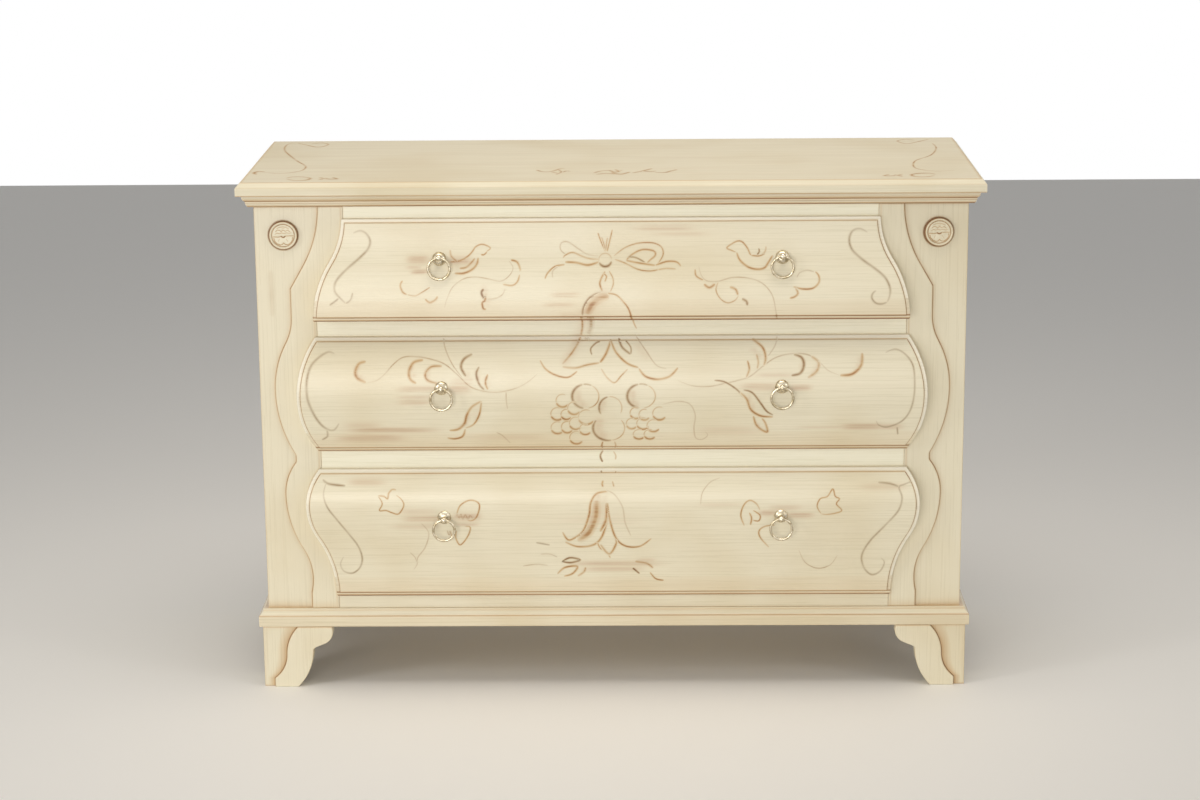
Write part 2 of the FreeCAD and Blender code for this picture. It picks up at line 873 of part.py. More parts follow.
def scrolled_edge(way):
    """The inner edge of a foot, from the floor up: a long hollow shin, a notch and a round nose."""
    toe, shin, notch, chin, nose, head = [
        foot_spot(name) for name in ("toe", "shin", "notch", "chin", "nose", "head")
    ]
    return drawn(
        [
            Stretch(toe, shin, "high"),
            Stretch(shin, notch),
            Stretch(notch, chin),
            Stretch(chin, nose, "high"),
            Stretch(nose, head, "low"),
        ],
        side=way,
    )


def foot_outline(way):
    return closed(path(flat(0, 0), flat(0, size("foot_height"))), scrolled_edge(way))


def bracket_outline(way):
    toe, heel, waist, head = [
        foot_spot(f"bracket_{name}") for name in ("toe", "heel", "waist", "head")
    ]
    outer = drawn([Stretch(toe, heel), Stretch(heel, waist, "high"), Stretch(waist, head, "low")], side=way)
    return closed(outer, scrolled_edge(way))


foot_outer = case_half + size("foot_reach")
foot_front = case_face - size("foot_reach")
blocks = []
for side_name, side in SIDES.items():
    name = f"front_foot_{side_name}"
    body = new_body(name)
    face = sketch_on(body, "XZ_Plane", name + "_face")
    draw_curves(face, foot_outline(-side))
    pad(body, face, size("foot_thickness"), name + "_face_pad", backwards=True)
    cheek = sketch_on(body, "YZ_Plane", name + "_cheek")
    draw_curves(cheek, foot_outline(RIGHT))
    pad(body, cheek, size("foot_thickness"), name + "_cheek_pad", backwards=side == RIGHT)
    place(body, foot_outer * side, foot_front)
    nodes[name] = body

    name = f"rear_foot_{side_name}"
    body = new_body(name)
    cheek = sketch_on(body, "YZ_Plane", name + "_cheek")
    draw_curves(cheek, foot_outline(LEFT))
    pad(body, cheek, size("foot_thickness"), name + "_cheek_pad", backwards=side == RIGHT)
    heel = sketch_on(body, "XZ_Plane", name + "_heel")
    reach_in = size("rear_foot_width") * -side
    draw_corners(
        heel, [(ZERO, ZERO), (reach_in, ZERO), (reach_in, size("foot_height")), (ZERO, size("foot_height"))]
    )
    pad(body, heel, size("foot_thickness"), name + "_heel_pad")
    place(body, foot_outer * side, case_back)
    nodes[name] = body

    name = f"scroll_bracket_{side_name}"
    body = new_body(name)
    sketch = sketch_on(body, "XZ_Plane", name + "_outline")
    draw_curves(sketch, bracket_outline(-side))
    pad(body, sketch, size("scroll_proud"), name + "_pad")
    place(body, foot_outer * side, foot_front)
    nodes[name] = body

    # Glue blocks in the corners behind the foot boards, up against the underside of the case
    corner = foot_outer - size("foot_thickness")
    front_corner = foot_front + size("foot_thickness")
    rear_corner = case_back - size("foot_thickness")
    for end_name, near in (("front", front_corner), ("rear", rear_corner - size("glue_block"))):
        blocks.append(
            side_board(
                f"glue_block_{end_name}_{side_name}", side, corner - size("glue_block"), corner, near,
                near + size("glue_block"), size("foot_height") - size("glue_block_drop"), size("foot_height"),
            )
        )
nodes["glue_blocks"] = group("glue_blocks", blocks)


# Drawer boxes: sides dovetailed into the front and grooved for the bottom, with the back housed in them

TAIL_COUNT = 4
# Half-widths of the pins between the tails, as shares of the spacing
PIN_NECK_SHARE = 0.12
PIN_ROOT_SHARE = 0.22

box_half = opening_half - size("box_side_gap")
box_inner = box_half - size("side_thickness")
lip_back = case_face - back_of_front
tongue_back = lip_back + size("tongue_thickness")
box_end = rear_rail_front - size("box_end_gap")
box_feet = {front.name: rail_tops[front.name] + size("run_gap") for front in fronts}
box_heads = {front.name: opening_tops[front.name] - size("box_top_gap") for front in fronts}


def side_blank(name, side, low, high):
    """A drawer side with its tails sawn out at the front end, before it is grooved."""
    body = new_body(name)
    sketch = sketch_on(body, "XZ_Plane", name + "_section")
    outer, inner = box_half * side, box_inner * side
    draw_corners(sketch, [(outer, low), (outer, high), (inner, high), (inner, low)])
    pad(body, sketch, box_end - lip_back, name + "_pad", backwards=True)
    pins = sketch_on(body, "YZ_Plane", name + "_pins")
    spacing = (high - low) / TAIL_COUNT
    for i in range(TAIL_COUNT + 1):
        middle_of_pin = low + spacing * i
        neck, root = spacing * PIN_NECK_SHARE, spacing * PIN_ROOT_SHARE
        draw_corners(
            pins,
            [
                (ZERO, middle_of_pin - neck),
                (size("tongue_thickness"), middle_of_pin - root),
                (size("tongue_thickness"), middle_of_pin + root),
                (ZERO, middle_of_pin + neck),
            ],
        )
    pocket(body, pins, name + "_pin_cut")
    place(body, y=lip_back)
    return body


blanks = {}
for front in fronts:
    low, high = box_feet[front.name], box_heads[front.name]
    ply_low = low + size("groove_rise")
    ply_high = ply_low + size("ply_thickness")
    let_in = box_inner + size("groove_depth")
    ply = board(
        f"{front.name}_drawer_bottom", (-let_in, tongue_back - size("groove_depth"), ply_low),
        (let_in, box_end, ply_high),
    )
    back = board(
        f"{front.name}_drawer_back", (-let_in, box_end - size("box_back_thickness"), ply_high),
        (let_in, box_end, high),
    )
    nodes[f"{front.name}_drawer_bottom"] = ply
    nodes[f"{front.name}_drawer_back"] = back
    blanks[front.name] = []
    for side_name, side in SIDES.items():
        name = f"{front.name}_drawer_side_{side_name}"
        blank = side_blank(name + "_blank", side, low, high)
        blanks[front.name].append(blank)
        nodes[name] = cut_by(name, blank, [ply, back])


# Pulls: a post with a domed flange and an eye, its nut, and a ring that hangs in the eye

# How far the shank runs past the nut's seat, as a share of the nut
SHANK_END_SHARE = 1.3
# How full the flange's dome is half-way in, as a share of its rise
DOME_CROWN_SHARE = 0.78
# The eye's drill starts this many eye radii to one side
DRILL_START_SHARE = 2


def pull_spot(front, side, out):
    """A point on a pull's axis, measured outwards from the seat of its flange."""
    seat = seats[front.name]
    reach = float(out) - float(size("seat_depth"))
    x = opening_half * PULL_ACROSS_SHARE * side
    y = lip_back - (seat.forward + reach * math.cos(seat.lean))
    z = front.foot + (seat.rise + reach * math.sin(seat.lean))
    return x, y, z


def nut_depth(front):
    """How far in from the flange's seat the nut lies, along the pull's axis."""
    seat = seats[front.name]
    run = (seat.forward + float(size("tongue_thickness"))) / math.cos(seat.lean)
    return run - float(size("seat_depth") + size("nut_sink"))


def inward_rod(name, front, side, radius, start, length):
    """A cylinder on a pull's axis, from a point outwards of the seat, running into the drawer."""
    rod = cylinder(name, radius, length)
    place(rod, *pull_spot(front, side, start), turn=-90 - math.degrees(seats[front.name].lean))
    return rod


def post(name, front, side):
    """The turned post, drilled through its eye for the ring."""
    body = new_body(name + "_turned")
    sketch = sketch_on(body, "XY_Plane", name + "_section")
    flange, thin, dome = size("flange_radius"), size("flange_thickness"), size("dome_height")
    neck, eye_at, eye = size("neck_radius"), size("eye_reach"), size("eye_radius")
    eye_foot = float(eye_at) - math.sqrt(float(eye) ** 2 - float(neck) ** 2)
    shank, tail = size("shank_radius"), nut_depth(front) + float(size("nut_thickness")) * SHANK_END_SHARE
    crown = (flange + neck) / 2
    crown_rise = thin + (dome - thin) * DOME_CROWN_SHARE
    draw_curves(
        sketch,
        [
            *path(flat(0, tail), flat(shank, tail), flat(shank, 0), flat(flange, 0), flat(flange, -thin)),
            Part.Arc(flat(flange, -thin), flat(crown, -crown_rise), flat(neck, -dome)),
            *path(flat(neck, -dome), flat(neck, -eye_foot)),
            Part.Arc(flat(neck, -eye_foot), flat(eye, -eye_at), flat(0, -(eye_at + eye))),
            *path(flat(0, -(eye_at + eye)), flat(0, tail)),
        ],
    )
    turning(body, sketch, name + "_turning")
    place(body, *pull_spot(front, side, 0), turn=-math.degrees(seats[front.name].lean))
    start = size("eye_radius") * DRILL_START_SHARE
    hole = cylinder(name + "_hole", size("wire_radius") + size("eye_hole_gap"), start * 2)
    x, y, z = pull_spot(front, side, eye_at)
    spot = FreeCAD.Vector(float(x - start), float(y), float(z))
    hole.Placement = FreeCAD.Placement(spot, FreeCAD.Rotation(FreeCAD.Vector(0, 1, 0), 90))
    return cut_by(name, body, [hole])


def nut(name, front, side):
    """A hexagon nut on the shank, in its recess at the back of the front."""
    body = new_body(name)
    sketch = sketch_on(body, "XZ_Plane", name + "_hexagon")
    radius = float(size("nut_radius"))
    corners = [math.pi * i / 3 for i in range(7)]
    draw_curves(sketch, path(*[flat(radius * math.cos(turn), radius * math.sin(turn)) for turn in corners]))
    draw_curves(sketch, [Part.Circle(flat(0, 0), FreeCAD.Vector(0, 0, 1), float(size("shank_radius")))])
    pad(body, sketch, size("nut_thickness"), name + "_pad", backwards=True)
    place(body, *pull_spot(front, side, -nut_depth(front)), turn=-math.degrees(seats[front.name].lean))
    return body


for front in fronts:
    posts, nuts = [], []
    for side_name, side in SIDES.items():
        posts.append(post(f"{front.name}_post_{side_name}", front, side))
        nuts.append(nut(f"{front.name}_nut_{side_name}", front, side))
        ring = doc.addObject("Part::Torus", f"{front.name}_ring_{side_name}")
        ring.Label = f"{front.name}_ring_{side_name}"
        hang = size("ring_radius") - size("wire_radius")
        tie(ring, "Radius1", hang)
        tie(ring, "Radius2", size("wire_radius"))
        x, y, z = pull_spot(front, side, size("eye_reach"))
        place(ring, x, y, z - hang, turn=90)
        nodes[ring.Label] = ring
    nodes[f"{front.name}_pull_posts"] = group(f"{front.name}_pull_posts", posts)
    nodes[f"{front.name}_pull_nuts"] = group(f"{front.name}_pull_nuts", nuts)


# Drawer fronts: swelled in section, shaped at the ends, with a thumbnail lip round a raised field

def front_outline(front, inset=0.0):
    """The outline of a front, or of its raised field where it is inset."""
    low, high = inset, float(front.height) - inset
    sides = [drawn(front.end, low, high, out=-inset, side=side) for side in (LEFT, RIGHT)]
    return closed(*sides)


def beyond_face(front, sink=ZERO):
    """The waste in front of the face, as a closed outline in a side view."""
    curves = drawn(moved(front.face, -sink), side=LEFT)
    foot, head = curves[0].StartPoint, curves[-1].EndPoint
    far = -(front.belly + overrun * 2)
    low, high = -overrun, front.height + overrun
    return [*curves, *path(head, flat(head.x, high), flat(far, high), flat(far, low), flat(foot.x, low), foot)]


# A face whose outward direction has more than this share towards the front is part of the swell
SWELLED_SHARE = 0.5


def rim_of(shape, straight):
    """The straight or the curved edges round the swelled surface: each belongs to one of its faces only."""
    swelled = [face for face in shape.Faces if face.normalAt(*face_middle(face)).y < -SWELLED_SHARE]
    rim = []
    for number, edge in enumerate(shape.Edges, start=1):
        owners = [face for face in swelled if any(edge.isSame(own) for own in face.Edges)]
        if len(owners) == 1 and (edge.Curve.TypeId == "Part::GeomLine") == straight:
            rim.append(f"Edge{number}")
    return rim


def face_middle(face):
    low_u, high_u, low_v, high_v = face.ParameterRange
    return (low_u + high_u) / 2, (low_v + high_v) / 2


def make_front(front):
    name = f"{front.name}_drawer_front"
    body = new_body(name + "_blank")
    depth = front.belly + overrun
    outline = sketch_on(body, "XZ_Plane", name + "_outline")
    draw_curves(outline, front_outline(front))
    pad(body, outline, depth, name + "_slab")
    lip_waste = sketch_on(body, "YZ_Plane", name + "_lip_waste")
    draw_curves(lip_waste, beyond_face(front, size("thumb_step")))
    shaped = pocket(body, lip_waste, name + "_lip_cut")
    doc.recompute()
    for part_name, straight in (("ends", False), ("lengths", True)):
        thumb = body.newObject("PartDesign::Fillet", f"{name}_thumb_{part_name}")
        thumb.Base = (shaped, rim_of(shaped.Shape, straight))
        tie(thumb, "Radius", size("thumb_round"))
        doc.recompute()
        shaped = thumb
    field = sketch_on(body, "XZ_Plane", name + "_field")
    draw_curves(field, front_outline(front, float(size("thumb_width"))))
    pad(body, field, depth, name + "_field_pad")
    field_waste = sketch_on(body, "YZ_Plane", name + "_field_waste")
    draw_curves(field_waste, beyond_face(front))
    pocket(body, field_waste, name + "_field_cut")
    tongue = sketch_on(body, "XZ_Plane", name + "_tongue")
    low = box_feet[front.name] - front.foot
    high = box_heads[front.name] - front.foot
    draw_corners(tongue, [(-box_half, low), (box_half, low), (box_half, high), (-box_half, high)])
    pad(body, tongue, size("tongue_thickness"), name + "_tongue_pad", backwards=True)
    place(body, y=lip_back, z=front.foot)
    jointed = cut_by(name + "_jointed", body, [*blanks[front.name], nodes[f"{front.name}_drawer_bottom"]])
    through = front.belly + size("tongue_thickness") + overrun * 2
    holes = []
    for side_name, side in SIDES.items():
        tag = f"{name}_{side_name}"
        holes.append(
            inward_rod(tag + "_bore", front, side, size("shank_radius") + size("shank_gap"), overrun, through)
        )
        holes.append(
            inward_rod(tag + "_seat", front, side, size("flange_radius") + size("seat_gap"), overrun, overrun)
        )
        holes.append(
            inward_rod(tag + "_recess", front, side, size("nut_recess_radius"), -nut_depth(front), through)
        )
    return cut_by(name, jointed, holes)


for front in fronts:
    nodes[f"{front.name}_drawer_front"] = make_front(front)


# Check every piece, then write it

doc.recompute()
faults = [o.Name for o in doc.Objects if "Invalid" in o.State or "Error" in o.State]
if faults:
    raise RuntimeError(f"pieces that failed: {faults}")
os.makedirs("parts", exist_ok=True)
for name, piece in nodes.items():
    shape = piece.Shape
    if shape.isNull() or not shape.isValid():
        raise RuntimeError(f"{name} is not a valid shape")
for name, piece in nodes.items():
    piece.Shape.exportStep(f"parts/{name}.step")
    print(name, len(piece.Shape.Solids), "solids", round(piece.Shape.Volume / 1000), "cm3")
print(len(nodes), "nodes")
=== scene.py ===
import math

import bpy
import bmesh
from mathutils import Matrix, Vector, noise
from mathutils.bvhtree import BVHTree


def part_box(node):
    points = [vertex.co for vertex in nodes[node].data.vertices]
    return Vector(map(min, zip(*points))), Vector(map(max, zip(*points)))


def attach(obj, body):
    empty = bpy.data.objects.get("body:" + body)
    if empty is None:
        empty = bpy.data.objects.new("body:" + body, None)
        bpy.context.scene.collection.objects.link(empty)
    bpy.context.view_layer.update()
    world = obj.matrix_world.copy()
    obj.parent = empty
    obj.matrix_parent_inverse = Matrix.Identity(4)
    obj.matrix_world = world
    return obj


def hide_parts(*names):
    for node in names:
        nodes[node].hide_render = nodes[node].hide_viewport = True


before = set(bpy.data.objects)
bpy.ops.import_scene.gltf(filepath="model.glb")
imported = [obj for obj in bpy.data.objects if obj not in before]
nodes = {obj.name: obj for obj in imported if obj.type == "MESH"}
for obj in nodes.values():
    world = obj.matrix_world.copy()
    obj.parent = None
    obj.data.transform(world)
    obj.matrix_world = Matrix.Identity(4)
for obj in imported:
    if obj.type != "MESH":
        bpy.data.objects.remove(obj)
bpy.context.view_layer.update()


# Side panels: glued-up pine boards, painted cream and brushed over with a thin brown glaze.
# They stand behind the front stiles, and their edges and feet hold a little more of the glaze.

CREAM_LIGHT = "#EEE7D1"
CREAM = "#E2DAC0"
CREAM_WARM = "#DACCAA"
GLAZE_HAZE = "#CDB99A"
# The paler paint of a painted highlight on the drawers' lips
PAINTED_HIGHLIGHT = "#FDF9EC"
# What full coats of the glaze, thin and then thick, and of the rubbed-in stain would leave of white
# These two glaze colours also paint the shadow lines and shade held in the glaze attribute
GLAZE_AND_SHADE_WARM = "#D1AD8C"
GLAZE_AND_SHADE_DARK = "#C4B7AB"
STAIN_RUST = "#DBC5B9"
# Brush streaks are about 3 mm wide, coarser than the real bristle marks, which wouldn't show
STREAKS_PER_M = 380
STREAK_RUN_PER_M = 7


def colour(code):
    """An sRGB hex colour as linear light."""
    shares = [int(code[i : i + 2], 16) / 255 for i in (1, 3, 5)]
    return (*[c / 12.92 if c <= 0.04045 else ((c + 0.055) / 1.055) ** 2.4 for c in shares], 1)


def add(tree, kind, links=(), **settings):
    """Adds a node with its settings; links maps its inputs to sockets or values."""
    node = tree.nodes.new(kind)
    for name, value in settings.items():
        setattr(node, name, value)
    for key, value in dict(links).items():
        if isinstance(value, bpy.types.NodeSocket):
            tree.links.new(value, node.inputs[key])
        else:
            node.inputs[key].default_value = value
    return node


def reckon(tree, operation, *values):
    """A sum done with up to three values."""
    return add(tree, "ShaderNodeMath", dict(enumerate(values)), operation=operation).outputs[0]


def stepped(tree, value, low, high, start=0.0, end=1.0):
    """A value's smooth step from start at low to end at high."""
    links = {"Value": value, "From Min": low, "From Max": high, "To Min": start, "To Max": end}
    return add(tree, "ShaderNodeMapRange", links, interpolation_type="SMOOTHSTEP").outputs[0]


def blend_colours(tree, share, first, second, kind="MIX"):
    """The second colour over the first, by a share."""
    links = {0: share, 6: first, 7: second}
    return add(tree, "ShaderNodeMix", links, data_type="RGBA", blend_type=kind).outputs[2]


def film(tree, paint, tint, thickness):
    """A transparent film of colour over paint: thin it is pale and clear, thick it is dark and full."""
    coat = add(tree, "ShaderNodeGamma", {"Color": tint, "Gamma": thickness}).outputs[0]
    return blend_colours(tree, 1.0, paint, coat, "MULTIPLY")


def object_space(tree):
    """Places in metres, so that streaks and clouds keep their size."""
    return add(tree, "ShaderNodeTexCoord").outputs["Object"]


def drawn_out(tree, spot, run, along, across, shift=(0, 0, 0)):
    """A place scaled for streaks that run along an axis, by how many a metre holds each way."""
    scale = [along if axis == run else across for axis in "xyz"]
    return add(tree, "ShaderNodeMapping", {"Vector": spot, "Scale": scale, "Location": shift}).outputs[0]


def mottle(tree, spot, scale, detail, roughness, bent=0.0):
    """Cloudy noise, at a scale per metre."""
    links = {"Vector": spot, "Scale": scale, "Detail": detail, "Roughness": roughness, "Distortion": bent}
    return add(tree, "ShaderNodeTexNoise", links).outputs[0]


def paint_layers(tree, run, streaky=1.0, warm=1.0, ground=(CREAM, CREAM_LIGHT)):
    """The cream paint's colour and its brush streaks, which run along an axis."""
    spot = object_space(tree)
    streaks = mottle(tree, drawn_out(tree, spot, run, STREAK_RUN_PER_M, STREAKS_PER_M), 1, 4, 0.62)
    haze_spot = drawn_out(tree, spot, run, STREAK_RUN_PER_M / 3, STREAKS_PER_M / 9, (3.1, 1.7, 5.2))
    haze = mottle(tree, haze_spot, 1, 3, 0.55)
    clouds = mottle(tree, spot, 4.5, 2, 0.5)
    lighter = stepped(tree, streaks, 0.34, 0.66, 0.5 - streaky / 2, 0.5 + streaky / 2)
    paint = blend_colours(tree, lighter, colour(ground[0]), colour(ground[1]))
    warmed = stepped(tree, clouds, 0.42, 0.7, 0, 0.45 * warm)
    paint = blend_colours(tree, warmed, paint, colour(CREAM_WARM))
    hazy = stepped(tree, haze, 0.5, 0.78, 0, 0.4 * streaky * warm)
    thin = reckon(tree, "MULTIPLY", hazy, stepped(tree, streaks, 0.38, 0.64, 0.3, 1))
    paint = blend_colours(tree, thin, paint, colour(GLAZE_HAZE))
    stained = add(tree, "ShaderNodeAttribute", attribute_name="stain").outputs["Fac"]
    brushed = reckon(tree, "MULTIPLY", stained, stepped(tree, streaks, 0.36, 0.6, 0.35, 1.0))
    paint = film(tree, paint, colour(STAIN_RUST), brushed)
    held = add(tree, "ShaderNodeAttribute", attribute_name="glaze").outputs["Fac"]
    # Below nothing, the attribute is a painted highlight: paler paint on a proud edge
    paint = blend_colours(tree, stepped(tree, held, 0, -1), paint, colour(PAINTED_HIGHLIGHT))
    patchy = stepped(tree, haze, 0.25, 0.6, 0.7, 1.0)
    held = reckon(tree, "MULTIPLY", reckon(tree, "MAXIMUM", held, 0.0), patchy)
    paint = film(tree, paint, colour(GLAZE_AND_SHADE_WARM), held)
    return film(tree, paint, colour(GLAZE_AND_SHADE_DARK), stepped(tree, held, 0.5, 1.05)), streaks


def empty_material(name):
    """A material and its tree, with no nodes yet."""
    material = bpy.data.materials.new(name)
    material.use_nodes = True
    material.node_tree.nodes.clear()
    return material, material.node_tree


def shade(tree, looks, height, strength, depth):
    """Ends a material's tree: its shader's inputs, and a shallow relief from a height."""
    bump = add(tree, "ShaderNodeBump", {"Height": height, "Strength": strength, "Distance": depth})
    shader = add(tree, "ShaderNodeBsdfPrincipled", {**looks, "Normal": bump.outputs[0]})
    add(tree, "ShaderNodeOutputMaterial", {"Surface": shader.outputs[0]})


def satin(name, layers, smooth=0.24, rough=0.38, ior=1.5):
    """A brushed coat of paint: satin, with shallow brush marks."""
    material, tree = empty_material(name)
    paint, streaks = layers(tree)
    sheen = stepped(tree, streaks, 0.3, 0.7, smooth, rough)
    shade(tree, {"Base Color": paint, "Roughness": sheen, "IOR": ior}, streaks, 0.16, 0.0005)
    return material


# Glazed milk-coloured enamel: satin cream with long brush streaks, brown where glaze stayed in the corners
# The glaze attribute also paints shadow lines, shade and a highlight on these pieces
paint_across = satin("glazed_cream_paint_across", lambda tree: paint_layers(tree, "x", 0.45))
paint_upright = satin("glazed_cream_paint_upright", lambda tree: paint_layers(tree, "z", 0.18))
paint_deep = satin("glazed_cream_paint_deep", lambda tree: paint_layers(tree, "y", 0.65))

MM = 0.001
# Where lines of vertices run beside an edge, in millimetres in from it
EDGE_LINES = (0, 0.25, 0.7, 1.4, 3, 6, 11)
# Corners sharper than this, in degrees, are shaded as edges, and vertices closer than this are joined
SHARP = 35
WELD = 1e-7


def spread(start, end, near, count):
    """Positions from start to end, close together at both ends."""
    room = (end - start) / 2
    close = [n * MM if near[-1] * MM < room else n / near[-1] * room * 0.9 for n in near]
    low, high = start + close[-1], end - close[-1]
    return [
        *[start + n for n in close], *[low + (high - low) * i / count for i in range(1, count)],
        *[end - n for n in reversed(close)],
    ]


def eased(distance, radius):
    """How far back a softened edge lies at a distance in from it, both in metres."""
    reach = max(0.0, radius - distance)
    return radius - math.sqrt(max(0.0, radius * radius - reach * reach))


def glaze_and_painted_shade_by(*corners):
    """The glaze and painted shade held by corners; each is how far off it is in metres, its strength, and its
    reach in mm.
    """
    return max(strength * math.exp(-((away / MM / reach) ** 2)) for away, strength, reach in corners)


def store(mesh, label, values):
    """Keeps a number on each vertex."""
    mesh.attributes.new(label, "FLOAT", "POINT").data.foreach_set("value", values)


def place_piece(name, mesh, *materials):
    """Puts a mesh in the scene as a piece."""
    piece = bpy.data.objects.new(name, mesh)
    bpy.context.scene.collection.objects.link(piece)
    for material in materials:
        mesh.materials.append(material)
    return piece


def piece_from(name, points, faces, glaze, *materials):
    """A closed mesh with its glaze and painted light, shaded smooth but for its sharp edges."""
    mesh = bpy.data.meshes.new(name)
    mesh.from_pydata(points, [], faces)
    store(mesh, "glaze", glaze)
    work = bmesh.new()
    work.from_mesh(mesh)
    bmesh.ops.remove_doubles(work, verts=work.verts, dist=WELD)
    bmesh.ops.recalc_face_normals(work, faces=work.faces)
    work.to_mesh(mesh)
    work.free()
    mesh.shade_smooth()
    mesh.set_sharp_from_angle(angle=math.radians(SHARP))
    return place_piece(name, mesh, *materials)


def slab(rows, behind):
    """A closed board from rows of (point, glaze and painted light), with its sides and its flat back where
    behind puts them.
    """
    points = [point for row in rows for point, held in row]
    glaze = [held for row in rows for point, held in row]
    width, height = len(rows[0]), len(rows)
    faces = [
        (j * width + i, j * width + i + 1, (j + 1) * width + i + 1, (j + 1) * width + i)
        for j in range(height - 1) for i in range(width - 1)
    ]
    rim = [*range(width), *[j * width + width - 1 for j in range(1, height)]]
    rim += [(height - 1) * width + i for i in range(width - 2, -1, -1)]
    rim += [j * width for j in range(height - 2, 0, -1)]
    first, count = len(points), len(rim)
    for corner in rim:
        points.append(behind(points[corner]))
        glaze.append(glaze[corner] * 0.3)
    for i in range(count):
        after = (i + 1) % count
        faces.append((rim[i], rim[after], first + after, first + i))
    faces.append(tuple(range(first, first + count)))
    return points, faces, glaze


def prism(rows):
    """A closed piece from loops of (point, glaze and painted light), one above the other."""
    points = [point for row in rows for point, held in row]
    glaze = [held for row in rows for point, held in row]
    count = len(rows[0])
    faces = [
        (j * count + i, j * count + (i + 1) % count, (j + 1) * count + (i + 1) % count, (j + 1) * count + i)
        for j in range(len(rows) - 1) for i in range(count)
    ]
    last = (len(rows) - 1) * count
    return points, [*faces, tuple(range(count)), tuple(range(last, last + count))], glaze


def finish(piece, body, material_slot, *replaced):
    """Hands a piece to its body, in place of the plain ones."""
    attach(piece, body)
    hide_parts(*replaced)


def painted(name, shape, material, plain_name):
    """A painted piece of the case, in place of a plain one; its shape is points, faces, and glaze and painted
    light.
    """
    piece = piece_from(name, *shape, material)
    finish(piece, "case", "painted_wood", plain_name)
    return piece


SIDES = {"left": -1, "right": 1}
case_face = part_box("front_stile_left")[0].y
back_low, back_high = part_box("back_panel")
REBATE_SLACK = 0.0002
PANEL_EASING = 0.0007
REBATE_GLAZE = 0.1
# The base moulding covers the foot of the panels up to here, and glaze lies along its upper edge
BASE_RISE = 0.031
for side_name, side in SIDES.items():
    low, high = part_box(f"side_panel_{side_name}")
    outer, inner = sorted((low.x, high.x), key=abs, reverse=True)
    shoulder, ledge = side * (back_high.x + REBATE_SLACK), back_low.y - REBATE_SLACK
    rebate = [(shoulder, high.y), (shoulder, ledge), (inner, ledge), (inner, low.y)]
    rows = []
    for z in spread(low.z, high.z, EDGE_LINES, 24):
        row = []
        for y in spread(low.y, high.y, EDGE_LINES, 12):
            rim = min(y - low.y, high.y - y)
            held = glaze_and_painted_shade_by(
                (y - low.y, 0.5, 1.6), (high.y - y, 0.3, 3), (high.z - z, 0.65, 2.5),
                (z - low.z - BASE_RISE, 0.55, 4),
            )
            row.append((Vector((outer - side * eased(rim, PANEL_EASING), y, z)), held))
        rows.append(row + [(Vector((x, y, z)), REBATE_GLAZE) for x, y in rebate])
    painted(f"painted_side_{side_name}", prism(rows), paint_upright, f"side_panel_{side_name}")


# Scrolled boards: thin pine boards sawn to a serpentine on both edges, softened on the outer one.
# They are glued over the stiles, cream like them; glaze and a painted shadow lie in the corner beside them.

JUST_INSIDE = 0.0001


def rays_on(name):
    """The surface of a plain piece, to measure from."""
    mesh = nodes[name].data
    return BVHTree.FromPolygons([v.co for v in mesh.vertices], [tuple(p.vertices) for p in mesh.polygons])


def kept_inside(z, low, high):
    """A height moved to where a ray can't slip past a piece's top or bottom."""
    return min(max(z, low.z + JUST_INSIDE), high.z - JUST_INSIDE)


def far_edge(plain, y, z, side):
    """How far out a board reaches at a height."""
    return plain.ray_cast(Vector((side * 2, y, z)), Vector((-side, 0, 0)))[0].x


def near_edge(plain, y, z, side):
    """How close to the middle a board comes at a height."""
    return plain.ray_cast(Vector((0, y, z)), Vector((side, 0, 0)))[0].x


def board_edges(name, side):
    """The inner and outer edge of a board as a function of height."""
    plain = rays_on(name)
    low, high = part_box(name)
    y = (low.y + high.y) / 2

    def edges(z):
        z = kept_inside(z, low, high)
        return near_edge(plain, y, z, side), far_edge(plain, y, z, side)

    return edges


def flat_behind(y):
    """For a slab, a back that lies flat at a depth."""
    return lambda point: Vector((point.x, y, point.z))


# How far the outer edge is rounded and the other edges are, and where glaze lies beside the inner one
BOARD_SOFTENING = 0.002
BOARD_EASING = 0.0005
BOARD_LINE = 0.0028
board_lines = {}
for side_name, side in SIDES.items():
    name = f"scrolled_stile_{side_name}"
    low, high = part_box(name)
    board_lines[side] = board_edges(name, side)
    rows = []
    for z in spread(low.z, high.z, EDGE_LINES, 230):
        inner, outer = board_lines[side](z)
        row = []
        for x in spread(0, abs(outer - inner), EDGE_LINES, 5):
            from_outer = abs(outer - inner) - x
            depth = eased(from_outer, BOARD_SOFTENING) + eased(min(x, z - low.z, high.z - z), BOARD_EASING)
            held = glaze_and_painted_shade_by(
                (from_outer, 0.8, 0.9), (x - BOARD_LINE, 0.25, 1.2), (high.z - z, 0.6, 1.6),
                (z - low.z, 0.55, 1.6), (z - low.z, 0.2, 9),
            )
            row.append((Vector((inner + side * x, low.y + depth, z)), held))
        rows.append(row)
    painted(f"serpentine_board_{side_name}", slab(rows, flat_behind(high.y)), paint_upright, name)


# Front stiles: flat pine posts at the corners, which show outside the scrolled boards.
# A dark line of glaze and painted shadow follows the boards, and the outer corners are rubbed.

